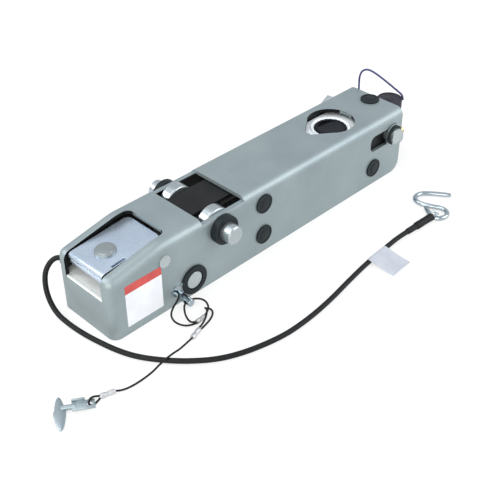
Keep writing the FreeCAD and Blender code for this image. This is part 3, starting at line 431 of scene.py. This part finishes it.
# filler cap with grip ribs and a dished top
capLook = {
    "middle": (388, 0, 78.8), "radius": 19, "height": 6, "sides": 80, "ribPitch": 4, "ribWidth": 2,
    "grip": 1.055, "ribHeight": 0.86, "topFrom": 81.5, "rim": 2.6, "dish": 0.8, "edge": 0.3}
cap = startCylinder(capLook["radius"], capLook["height"], capLook["middle"], capLook["sides"])


def isRib(face):
    spot = face.calc_center_median() - Vector(mm(*capLook["middle"]))
    step = int(math.atan2(spot.y, spot.x) % (2 * math.pi) / (2 * math.pi / capLook["sides"]))
    return abs(face.normal.z) < 1 - squarely and step % capLook["ribPitch"] < capLook["ribWidth"]


pickFaces(cap, isRib)
pushOut(0, 0, 0)
bpy.ops.transform.resize(value=(capLook["grip"], capLook["grip"], capLook["ribHeight"]),
                         center_override=mm(*capLook["middle"]))
pickFaces(cap, lambda face: looksUp(face) and face.calc_center_median().z > metres(capLook["topFrom"]))
insetBy(capLook["rim"])
pushOut(0, 0, -capLook["dish"])
softenEdges(cap, capLook["edge"])
cap.data.materials.append(surface("capPlastic", capPlastic))
settle(cap, "fillerCap", "cap", "black_plastic", "fill_cap")
print("cap")

# plain two-coloured plate on the near wall
plateLook = {
    "low": (17, 10), "high": (66, 64), "wall": -45.15, "bandFrom": 53.5, "thickness": 0.25, "cuts": 2}
plateX, plateZ = [(a + b) / 2 for a, b in zip(plateLook["low"], plateLook["high"])]
letGo()
bpy.ops.mesh.primitive_plane_add(size=1, location=mm(plateX, plateLook["wall"], plateZ),
                                 rotation=(quarterTurn, 0, 0))
plate = bpy.context.object
plate.scale = (*mm(*[b - a for a, b in zip(plateLook["low"], plateLook["high"])]), 1)
applyPlace()
bpy.ops.object.mode_set(mode="EDIT")
cutAt((0, 0, plateLook["bandFrom"]), (0, 0, 1))
bpy.ops.mesh.select_all(action="SELECT")
bpy.ops.mesh.subdivide(number_cuts=plateLook["cuts"])
closeForm()
plate.data.materials.append(surface("plateWhite", plateWhite))
plate.data.materials.append(surface("plateRed", plateRed))
for face in plate.data.polygons:
    face.material_index = 1 if face.center.z > metres(plateLook["bandFrom"]) else 0
thickened(plate, plateLook["thickness"], -1)
settle(plate, "wallPlate", "shell", "tag_plastic")
print("plate")

# solenoid with a rim and a dish round a raised middle
coilLook = {
    "middle": (499, -7, 62.25), "radius": 16.5, "height": 39.5, "sides": 96, "rim": 1.6, "dish": 0.7,
    "boss": 9.5, "bossShare": 0.7, "edge": 0.6}
coil = startCylinder(coilLook["radius"], coilLook["height"], coilLook["middle"], coilLook["sides"])
pickFaces(coil, looksUp)
insetBy(coilLook["rim"])
pushOut(0, 0, -coilLook["dish"])
insetBy(coilLook["boss"])
pushOut(0, 0, coilLook["dish"] * coilLook["bossShare"])
softenEdges(coil, coilLook["edge"])
settle(coil, "solenoidCan", "frame", "coil_plastic", "solenoid")
print("solenoid")


def hexNut(look):
    nut = startCylinder(look["radius"], look["width"], look["middle"], 6, look["turn"])
    outward = Vector(look["outward"])
    pickFaces(nut, lambda face: face.normal.dot(outward) > squarely)
    insetBy(look["chamfer"])
    pushOut(*(outward * look["rise"]))
    softenEdges(nut, look["edge"], look["edgeSteps"])
    return nut


# nut of the brass union
unionLook = {
    "middle": (514.2, -12, 26), "radius": 8.6, "width": 4.4, "turn": (0, quarterTurn, 0),
    "outward": (1, 0, 0), "chamfer": 1.2, "rise": 0.5, "edge": 0.35, "edgeSteps": 2}
settle(hexNut(unionLook), "unionNut", "frame", "brass")
print("union nut")

# latch plate: sloping, with round rear corners, a rolled front edge, a slit, a second layer and two cheeks
latchLook = {
    "front": 2, "rear": 83.5, "half": 27.7, "top": 77.5, "thickness": 4, "slope": -5.1, "corner": 7,
    "cornerSteps": 10, "frontStrip": 7, "frontDrop": 2.5, "roll": 5, "rollSteps": 8, "rollFrom": 9,
    "slit": (18, 36, -26.4, -23.4), "slitDepth": 3.4, "edge": 0.5, "edgeAngle": 50,
    "underLow": (3, -26.6, 65), "underHigh": (9, 26.6, 70.3), "underEdge": 0.9,
    "pivot": (71, 68), "cheekRadius": 13, "cheekWidth": 3.6, "webRear": 10, "webTop": 79, "bore": 6.05,
    "near": 0.1}
latchFront, latchRear, latchHalf, latchLevel = [latchLook[side] for side in ("front", "rear", "half", "top")]
latchTop = blockBetween((latchFront, -latchHalf, latchLevel - latchLook["thickness"]),
                        (latchRear, latchHalf, latchLevel))
pickEdges(latchTop, lambda spot, span: spot.x > metres(latchRear - 1) and abs(span.z) > metres(2))
roundEdges(latchLook["corner"], latchLook["cornerSteps"])
cutAt((latchLook["frontStrip"], 0, 0), (1, 0, 0))
pickFaces(latchTop, lambda face: looksDown(face)
          and face.calc_center_median().x < metres(latchLook["frontStrip"]))
pushOut(0, 0, -latchLook["frontDrop"])
pickEdges(latchTop, lambda spot, span: abs(span.y) > metres(latchLook["rollFrom"])
          and spot.x < metres(latchFront + latchLook["near"])
          and spot.z > metres(latchLevel - latchLook["near"]))
roundEdges(latchLook["roll"], latchLook["rollSteps"])
slitFront, slitRear, slitNear, slitFar = latchLook["slit"]
for slitX in (slitFront, slitRear):
    cutAt((slitX, 0, 0), (1, 0, 0))
for slitY in (slitNear, slitFar):
    cutAt((0, slitY, 0), (0, 1, 0))


def isSlit(face):
    x, y = face.calc_center_median().xy * 1000
    return looksUp(face) and slitFront < x < slitRear and slitNear < y < slitFar


latchTop.data.materials.append(finishes["latch_steel"])
latchTop.data.materials.append(finishes["black_paint"])
pickFaces(latchTop, isSlit)
pushOut(0, 0, -latchLook["slitDepth"])
latchTop.active_material_index = 1  # the slit's floor is painted black: painted shade for the depth of the slot
bpy.ops.object.material_slot_assign()
softenEdges(latchTop, latchLook["edge"], 2, latchLook["edgeAngle"])
slopeTurn = Matrix.Rotation(math.radians(latchLook["slope"]), 4, "Y")
slopeAt = Matrix.Translation(mm(latchFront, 0, latchLevel))
latchTop.data.transform(slopeAt @ slopeTurn @ slopeAt.inverted())
underLayer = blockBetween(latchLook["underLow"], latchLook["underHigh"])
softenEdges(underLayer, latchLook["underEdge"], 3)
latchParts = [underLayer]
pivotX, pivotZ = latchLook["pivot"]
for side in (-1, 1):
    outer = side * latchHalf
    inner = side * (latchHalf - latchLook["cheekWidth"])
    cheekPlace = (pivotX, (outer + inner) / 2, pivotZ)
    eye = startCylinder(latchLook["cheekRadius"], latchLook["cheekWidth"], cheekPlace, 64,
                        (quarterTurn, 0, 0))
    web = blockBetween((pivotX - latchLook["cheekRadius"], min(outer, inner), pivotZ),
                       (pivotX + latchLook["webRear"], max(outer, inner), latchLook["webTop"]))
    for cheek in (eye, web):
        holed(cheek, latchLook["bore"], 20, cheekPlace, (quarterTurn, 0, 0))
        latchParts.append(cheek)
for part in latchParts:
    part.data.materials.append(finishes["latch_steel"])
settle(joined([latchTop, *latchParts]), "latchPlate", "latch", "latch_steel", "latch_plate")
print("latch plate")

# low round rivet head on the latch plate, square to its slope
rivetLook = {
    "middle": (30, 0, 80.2), "radius": 11.8, "height": 3.6, "sides": 80, "crown": 2.4, "crownRise": 0.7,
    "edge": 0.9, "edgeSteps": 4, "edgeAngle": 12}
rivet = startCylinder(rivetLook["radius"], rivetLook["height"], rivetLook["middle"], rivetLook["sides"])
pickFaces(rivet, looksUp)
insetBy(rivetLook["crown"])
pushOut(0, 0, rivetLook["crownRise"])
softenEdges(rivet, rivetLook["edge"], rivetLook["edgeSteps"], rivetLook["edgeAngle"])
rivetAt = Matrix.Translation(mm(*rivetLook["middle"]))
rivet.data.transform(rivetAt @ slopeTurn @ rivetAt.inverted())
rivet.data.materials.append(surface("rivetSteel", rivetSteel))
settle(rivet, "rivetHead", "latch", "latch_steel", "latch_button")
print("rivet head")

# pale lip of the socket floor over the front wall's sill
sillLook = {"low": (-1.9, -30.2, 46.55), "high": (2.2, 30.2, 48.9), "edge": 0.5}
sill = blockBetween(sillLook["low"], sillLook["high"])
softenEdges(sill, sillLook["edge"])
sill.data.materials.append(socketFinish)
settle(sill, "socketLip", "shell", "latch_steel")
print("socket lip")

# raised bright plate with a bead round the filler cap; its brightness is partly its own pale colour and
# partly painted light
fillerLook = {
    "low": (345.5, -30, 75.6), "high": (424.5, 30, 80.2), "corner": 9, "cornerSteps": 8, "edge": 0.7,
    "hole": 21.2, "holeMiddle": (388, 0, 78), "bead": 24.6, "beadThick": 1.4, "beadMiddle": (388, 0, 79.9)}
fillerPlate = blockBetween(fillerLook["low"], fillerLook["high"])
pickEdges(fillerPlate, lambda spot, span: abs(span.z) > metres(2))
roundEdges(fillerLook["corner"], fillerLook["cornerSteps"])
closeForm()
holed(fillerPlate, fillerLook["hole"], 20, fillerLook["holeMiddle"])
softenEdges(fillerPlate, fillerLook["edge"], 3)
letGo()
bpy.ops.mesh.primitive_torus_add(major_radius=metres(fillerLook["bead"]), major_segments=96,
                                 minor_radius=metres(fillerLook["beadThick"]), minor_segments=16,
                                 location=mm(*fillerLook["beadMiddle"]))
bead = bpy.context.object
applyPlace()
fillerPlate = joined([fillerPlate, bead])
fillerPlate.data.materials.append(coverFinish)
settle(fillerPlate, "fillerPlate", "frame", "latch_steel")
print("filler plate")

# hexagon nut on the rear pin's far end
rearNutLook = {
    "middle": (458, 60.6, 60.5), "radius": 14.6, "width": 9.4, "turn": (quarterTurn, 0, 0),
    "outward": (0, 1, 0), "chamfer": 3, "rise": 0.4, "edge": 0.8, "edgeSteps": 3}
settle(hexNut(rearNutLook), "rearPinNut", "frame", "pin_steel")
print("rear pin nut")


# round wire, cord and sleeve along a line; a fourth value at a point is its radius
def lineCurve(name, spots, depth, lineSteps, roundSteps):
    curve = bpy.data.curves.new(name, "CURVE")
    curve.dimensions = "3D"
    curve.resolution_u = lineSteps
    spline = curve.splines.new("NURBS")
    spline.points.add(len(spots) - 1)
    for point, (x, y, z, *radius) in zip(spline.points, spots):
        point.co = (*mm(x, y, z), 1)
        if radius:
            point.radius = radius[0]
    spline.order_u = 3
    spline.use_endpoint_u = True
    curve.bevel_depth = depth
    curve.bevel_resolution = roundSteps
    curve.use_fill_caps = True
    return curve


def meshOf(piece):
    bpy.context.view_layer.update()
    return bpy.data.meshes.new_from_object(piece)


def roundedLine(name, spots, slot, *replaced):
    line = shown(name + "Line", lineCurve(name, spots, metres(1), 8, 5))
    piece = shown(name, meshOf(line))
    bpy.data.objects.remove(line)
    piece.data.materials.clear()
    return settle(piece, name, "shell", slot, *replaced)


hookLine = [
    (425.6, -129.8, 3.2, 2.4), (423.5, -132.6, 3.2, 3), (414.5, -145, 3.2, 3), (415.5, -156, 3.2, 3),
    (426, -160.5, 3.2, 3), (436, -156, 3.2, 3), (438.5, -146, 3.2, 3), (432, -134, 3.2, 3),
    (427.5, -122, 3.2, 3), (428, -112, 3.2, 3), (436, -105.5, 3.2, 3), (447, -107, 3.2, 3),
    (457, -118, 3.2, 3), (469, -135.6, 3.2, 3), (470, -137, 3.2, 2.2)]
sleeveLine = [
    (364.8, -146.3, 4.9, 3.3), (366, -146.35, 4.9, 3.8), (372, -146.62, 4.9, 3.9), (380, -146.98, 4.9, 3.9),
    (381.6, -147.05, 4.9, 4.3), (383, -147.1, 4.9, 4.9), (390, -147.42, 4.9, 4.9), (399, -147.83, 4.9, 4.7),
    (403, -148.01, 4.9, 4.8), (408, -148.24, 4.9, 5.0), (411.4, -148.4, 4.9, 5.0)]
thimbleLine = [
    (409, -145.4, 5.2, 1.3), (413, -145.3, 7.8, 1.3), (418, -146, 8.8, 1.3), (422.4, -148.6, 5.4, 1.3),
    (421.8, -151.6, 5.2, 1.3), (417.5, -153, 8.6, 1.3), (412.6, -151.6, 7.8, 1.3), (409, -150.9, 5.2, 1.3)]
ferruleLook = {
    "fat": 2.9, "thin": 2.5, "tether": ((78, -84, 2.9), (91, -83.5, 2.9)),
    "loop": ((73, -94, 2.9), (58, -98.8, 2.9)), "key": ((-47, -101.5, 2.9), (-62, -97, 2.9)),
    "crimps": [(0, "thin"), (0.06, "fat"), (0.3, "fat"), (0.4, "thin"), (0.6, "thin"), (0.7, "fat"),
               (0.94, "fat"), (1, "thin")]}


def ferruleLine(start, end):
    return [(*[a + (b - a) * share for a, b in zip(start, end)], ferruleLook[width])
            for share, width in ferruleLook["crimps"]]


roundedLine("safetyHook", hookLine, "hook_steel", "safety_hook")
roundedLine("cableSleeve", sleeveLine, "black_rubber", "cable_sleeve")
roundedLine("cableThimble", thimbleLine, "hook_steel")
roundedLine("tetherFerrule", ferruleLine(*ferruleLook["tether"]), "ferrule_metal", "tether_ferrule")
roundedLine("lanyardFerruleLoop", ferruleLine(*ferruleLook["loop"]), "ferrule_metal", "lanyard_ferrules")
roundedLine("lanyardFerruleKey", ferruleLine(*ferruleLook["key"]), "ferrule_metal")
print("hook, sleeve and ferrules")

# blank tag, folded over the cable and drooping to the floor
tagLook = {
    "corner": (290.5, -184, 0.9), "length": 34, "width": 37, "turn": 3, "rise": 5.6, "riseCurve": 1.6,
    "curl": 0.9, "foldFrom": 0.97, "foldDrop": 36, "thickness": 0.7, "steps": (14, 22)}
letGo()
bpy.ops.mesh.primitive_grid_add(x_subdivisions=tagLook["steps"][0], y_subdivisions=tagLook["steps"][1],
                                size=1, location=(0.5, 0.5, 0))
tag = bpy.context.object
applyPlace()
for point in tag.data.vertices:
    along, across = point.co.x, point.co.y
    rise = tagLook["rise"] * across ** tagLook["riseCurve"]
    curl = tagLook["curl"] * math.sin(math.pi * along) * (1 - across) ** 2
    drop = tagLook["foldDrop"] * max(0, across - tagLook["foldFrom"])
    point.co = mm(along * tagLook["length"], across * tagLook["width"], rise + curl - drop)
thickened(tag, tagLook["thickness"], 1)
tagTurn = Matrix.Rotation(math.radians(tagLook["turn"]), 4, "Z")
tag.data.transform(Matrix.Translation(mm(*tagLook["corner"])) @ tagTurn)
settle(tag, "blankTag", "shell", "tag_plastic", "cable_tag")
print("tag")

# lockout key: leaf-shaped bar, stem and folded eye
keyLook = {
    "eye": (-76.5, -97.5, 0), "turn": -32.7,
    "barMiddle": -28.2, "barLevel": 2.4, "barThick": 2, "wings": (5.9, 4.3), "reaches": (28.6, 16.6),
    "swell": 1.12, "taper": 0.2, "stemRadius": 2.8, "stemLength": 14, "stemMiddle": (-19.5, 0, 3.5),
    "leafLow": (-16, -6, 2.6), "leafHigh": (6.5, 6, 4.6), "foldX": -3, "foldY": 4, "foldHeight": 4,
    "edge": 0.7, "hole": 3.1, "holeMiddle": (1.2, 0.4, 3)}
letGo()
bpy.ops.mesh.primitive_uv_sphere_add(segments=40, ring_count=24, radius=metres(1), location=(0, 0, 0))
keyBar = bpy.context.object
for point in keyBar.data.vertices:
    across, along, up = point.co * 1000
    end = 0 if along < 0 else 1
    wing = keyLook["wings"][end] * (keyLook["swell"] - keyLook["taper"] * abs(along))
    point.co = mm(keyLook["barMiddle"] + across * wing, along * keyLook["reaches"][end],
                  keyLook["barLevel"] + up * keyLook["barThick"])
keyStem = startCylinder(keyLook["stemRadius"], keyLook["stemLength"], keyLook["stemMiddle"], 32,
                        (0, quarterTurn, 0))
keyLeaf = blockBetween(keyLook["leafLow"], keyLook["leafHigh"])
pickFaces(keyLeaf, looksUp)
bpy.ops.mesh.bisect(plane_co=mm(0, keyLook["foldY"], 0), plane_no=(0, 1, 0))
cutAt((keyLook["foldX"], 0, 0), (1, 0, 0))
pickFaces(keyLeaf, lambda face: looksUp(face) and face.calc_center_median().y > metres(keyLook["foldY"])
          and face.calc_center_median().x < metres(keyLook["foldX"]))
pushOut(0, 0, keyLook["foldHeight"])
softenEdges(keyLeaf, keyLook["edge"], 3)
holed(keyLeaf, keyLook["hole"], 20, keyLook["holeMiddle"], sides=40)
lockoutKey = joined([keyLeaf, keyBar, keyStem])
keyTurn = Matrix.Rotation(math.radians(keyLook["turn"]), 4, "Z")
lockoutKey.data.transform(Matrix.Translation(mm(*keyLook["eye"])) @ keyTurn)
lockoutKey.data.materials.clear()
lockoutKey.data.materials.append(surface("keySteel", keySteel))
settle(lockoutKey, "lockoutKey", "shell", "hook_steel", "lockout_key")
print("key")

# cords, each a smooth line through the air or along the floor
cords = {
    "breakawayCable": {
        "node": "breakaway_cable", "slot": "black_rubber", "diameter": 6.0, "length": 596,
        "farEnd": "fitting", "stiffness": "stiff",
        "with": ["cableSleeve", "safetyHook", "cableThimble", "blankTag"],
        "route": [(9, 45, 54), (9, 54.5, 54), (2.5, 62, 50), (-7.5, 63.3, 39), (-14, 57, 25), (-18, 46, 13),
                  (-20, 31, 5), (-20, 13, 3.2), (-19, -8, 3.2), (-15.7, -31, 3.2), (-8.6, -62, 3.2),
                  (2.5, -87, 3.2), (29, -121, 3.2), (65, -149, 3.2), (122, -165, 3.2), (164, -166, 3.2),
                  (206, -162, 3.2), (246, -155, 3.2), (287, -149, 3.2), (324, -146.5, 3.3),
                  (347, -145.5, 4.9), (364.7, -146.29, 4.9)]},
    "tetherCable": {
        "node": "tether_cable", "slot": "black_rubber", "diameter": 2.2, "length": 66.8,
        "farEnd": "fitting", "stiffness": "stiff", "with": ["tetherFerrule"],
        "route": [(84.5, -45.4, 20), (84.2, -51, 19.6), (79, -54, 15.5), (71.5, -54, 9.5), (65, -57, 4.6),
                  (62, -65, 2.3), (63.5, -75, 2), (69.5, -83, 2.4), (77.6, -85.2, 2.9)]},
    "tetherLoop": {
        "node": "tether_loop", "slot": "black_rubber", "diameter": 2.2, "length": 82.5, "farEnd": "object",
        "stiffness": "stiff", "with": [],
        "route": [(91.5, -82.4, 3.2), (99.5, -80, 4.2), (106, -72, 4.6), (106.5, -63, 6), (98.5, -55, 6.4),
                  (86.5, -55, 6.4), (79.5, -63, 3.5), (75, -72, 2.5), (73.4, -80.5, 2.6),
                  (77.3, -82.6, 2.9)]},
    "lanyardLoopEye": {
        "node": "lanyard_loop_eye", "slot": "black_rubber", "diameter": 2.2, "length": 80.6,
        "farEnd": "object", "stiffness": "limp", "with": ["lanyardFerruleLoop"],
        "route": [(73.6, -94.9, 2), (84, -92.5, 1.4), (95, -89, 1.2), (103, -83.5, 1.2), (105, -77, 1.2),
                  (100, -73.5, 2.8), (97.5, -77, 7), (95, -83, 9), (86, -90, 7.5), (77, -93, 4.5),
                  (73.3, -93, 3.8)]},
    "lanyardCord": {
        "node": "lanyard", "slot": "black_rubber", "diameter": 2.2, "length": 106.9, "farEnd": "fitting",
        "stiffness": "medium", "with": ["lanyardFerruleKey"],
        "route": [(57.6, -98.93, 2.9), (38, -103, 3.5), (28, -105, 6.5), (17, -106.5, 7.6), (6, -107.5, 6.5),
                  (-6, -108.3, 3), (-28, -107.5, 1.3), (-42, -104.5, 1.6), (-46.4, -101.68, 2.9)]},
    "lanyardKeyEye": {
        "node": "lanyard_key_eye", "slot": "black_rubber", "diameter": 2.2, "length": 30.8,
        "farEnd": "object", "stiffness": "limp", "with": ["lockoutKey"],
        "route": [(-62.5, -96.2, 3.4), (-68, -94.5, 6.2), (-74, -95.5, 6.5), (-76.5, -97.5, 3),
                  (-74, -99.5, 1.2), (-68, -99.5, 1.3), (-63.1, -98, 2.2)]},
    "solenoidLead": {
        "node": "solenoid_lead", "slot": "blue_lead", "diameter": 2.6, "length": 126.3, "farEnd": "object",
        "stiffness": "medium", "with": [],
        "route": [(466, 30, 77.3), (475, 30.5, 77.8), (482.5, 32, 85), (484, 34, 95), (483.5, 33.5, 105.5),
                  (482, 29, 115), (483, 21, 119.8), (487, 12.5, 116.5), (494, 4, 108.5), (502, -4, 99),
                  (509.5, -11.5, 90), (514.2, -17.2, 83.5), (513.9, -17.7, 77.5)]},
}
cordPieces = {}
for name, facts in cords.items():
    piece = shown(name, lineCurve(name, facts["route"], metres(facts["diameter"] / 2), 10, 4))
    piece.data.materials.append(finishes[facts["slot"]])
    line = None
    if name == "solenoidLead":  # a mesh, carried by the frame
        tube = meshOf(piece)
        piece.data.bevel_depth = 0
        line = [tuple(point.co) for point in meshOf(piece).vertices]
        bpy.data.objects.remove(piece)
        piece = shown(name, tube)
        for face in tube.polygons:
            face.use_smooth = True
    cordPieces[name] = piece
    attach(piece, "frame" if name == "solenoidLead" else "shell")
    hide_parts(facts["node"])
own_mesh(cordPieces["solenoidLead"])
print("cords:", len(cordPieces))

# floor: white to the camera and in reflections, and it keeps the shadow
studio = {
    "floorColour": (0.9, 0.9, 0.9), "floorRough": 0.9, "floorSize": 24.0, "floorMiddle": (240, 0, -0.3),
    "floorGlow": 0.72, "world": (0.93, 0.96, 1.0), "worldStrength": 0.8, "lookAt": (220, -20, 30)}
letGo()
bpy.ops.mesh.primitive_plane_add(size=studio["floorSize"], location=mm(*studio["floorMiddle"]))
floor = bpy.context.object
floor.name = "studioFloor"
floorMaterial, floorTree, floorShader = startMaterial("floorWhite")
floorShader.inputs["Base Color"].default_value = (*studio["floorColour"], 1)
floorShader.inputs["Roughness"].default_value = studio["floorRough"]
floorGlow = floorTree.nodes.new("ShaderNodeEmission")
floorGlow.inputs["Color"].default_value = (1, 1, 1, 1)
floorRays = floorTree.nodes.new("ShaderNodeLightPath").outputs
reflected = mathOf(floorTree, "MAXIMUM", floorRays["Is Glossy Ray"], floorRays["Is Transmission Ray"])
inView = mathOf(floorTree, "MAXIMUM", floorRays["Is Camera Ray"], reflected)
floorMix = floorTree.nodes.new("ShaderNodeMixShader")
floorTree.links.new(mathOf(floorTree, "MULTIPLY", inView, studio["floorGlow"]), floorMix.inputs["Fac"])
floorTree.links.new(floorShader.outputs["BSDF"], floorMix.inputs[1])
floorTree.links.new(floorGlow.outputs["Emission"], floorMix.inputs[2])
floorTree.links.new(floorMix.outputs["Shader"], floorTree.nodes["Material Output"].inputs["Surface"])
floor.data.materials.append(floorMaterial)

world = bpy.data.worlds.new("studioWorld")
bpy.context.scene.world = world
world.use_nodes = True
backdrop = world.node_tree.nodes["Background"]
backdrop.inputs["Color"].default_value = (*studio["world"], 1)
backdrop.inputs["Strength"].default_value = studio["worldStrength"]

lamps = {
    "bendLight": {"from": (1.25, -1.2, 1.0), "size": 1.3, "energy": 18},
    "topLight": {"from": (-0.2, 0.5, 1.9), "size": 1.2, "energy": 10},
    "noseLight": {"from": (-1.5, -0.7, 0.8), "size": 2.2, "energy": 38, "tint": (1.0, 0.95, 0.86)},
    "rollLight": {"from": (-0.9, 1.05, 1.06), "size": 0.7, "energy": 10},
}


def aimed(holder, place, direction):
    holder.location = place
    holder.rotation_euler = direction.to_track_quat("-Z", "Y").to_euler()


for name, lamp in lamps.items():
    light = bpy.data.lights.new(name, "AREA")
    light.size = lamp["size"]
    light.energy = lamp["energy"]
    light.color = lamp.get("tint", (1, 1, 1))
    aimed(shown(name, light), lamp["from"], Vector(mm(*studio["lookAt"])) - Vector(lamp["from"]))

# camera at the photograph's viewing angle
shot = {"at": (-411.65, -648.93, 670.36), "towards": (0.5645, 0.5586, -0.6076), "lens": 67.15, "sensor": 36}
camera = bpy.data.cameras.new("photoCamera")
camera.lens = shot["lens"]
camera.sensor_fit = "HORIZONTAL"
camera.sensor_width = shot["sensor"]
cameraHolder = shown("photoCamera", camera)
aimed(cameraHolder, mm(*shot["at"]), Vector(shot["towards"]))
bpy.context.scene.camera = cameraHolder
bpy.context.scene.view_settings.view_transform = "Standard"
print("studio set")
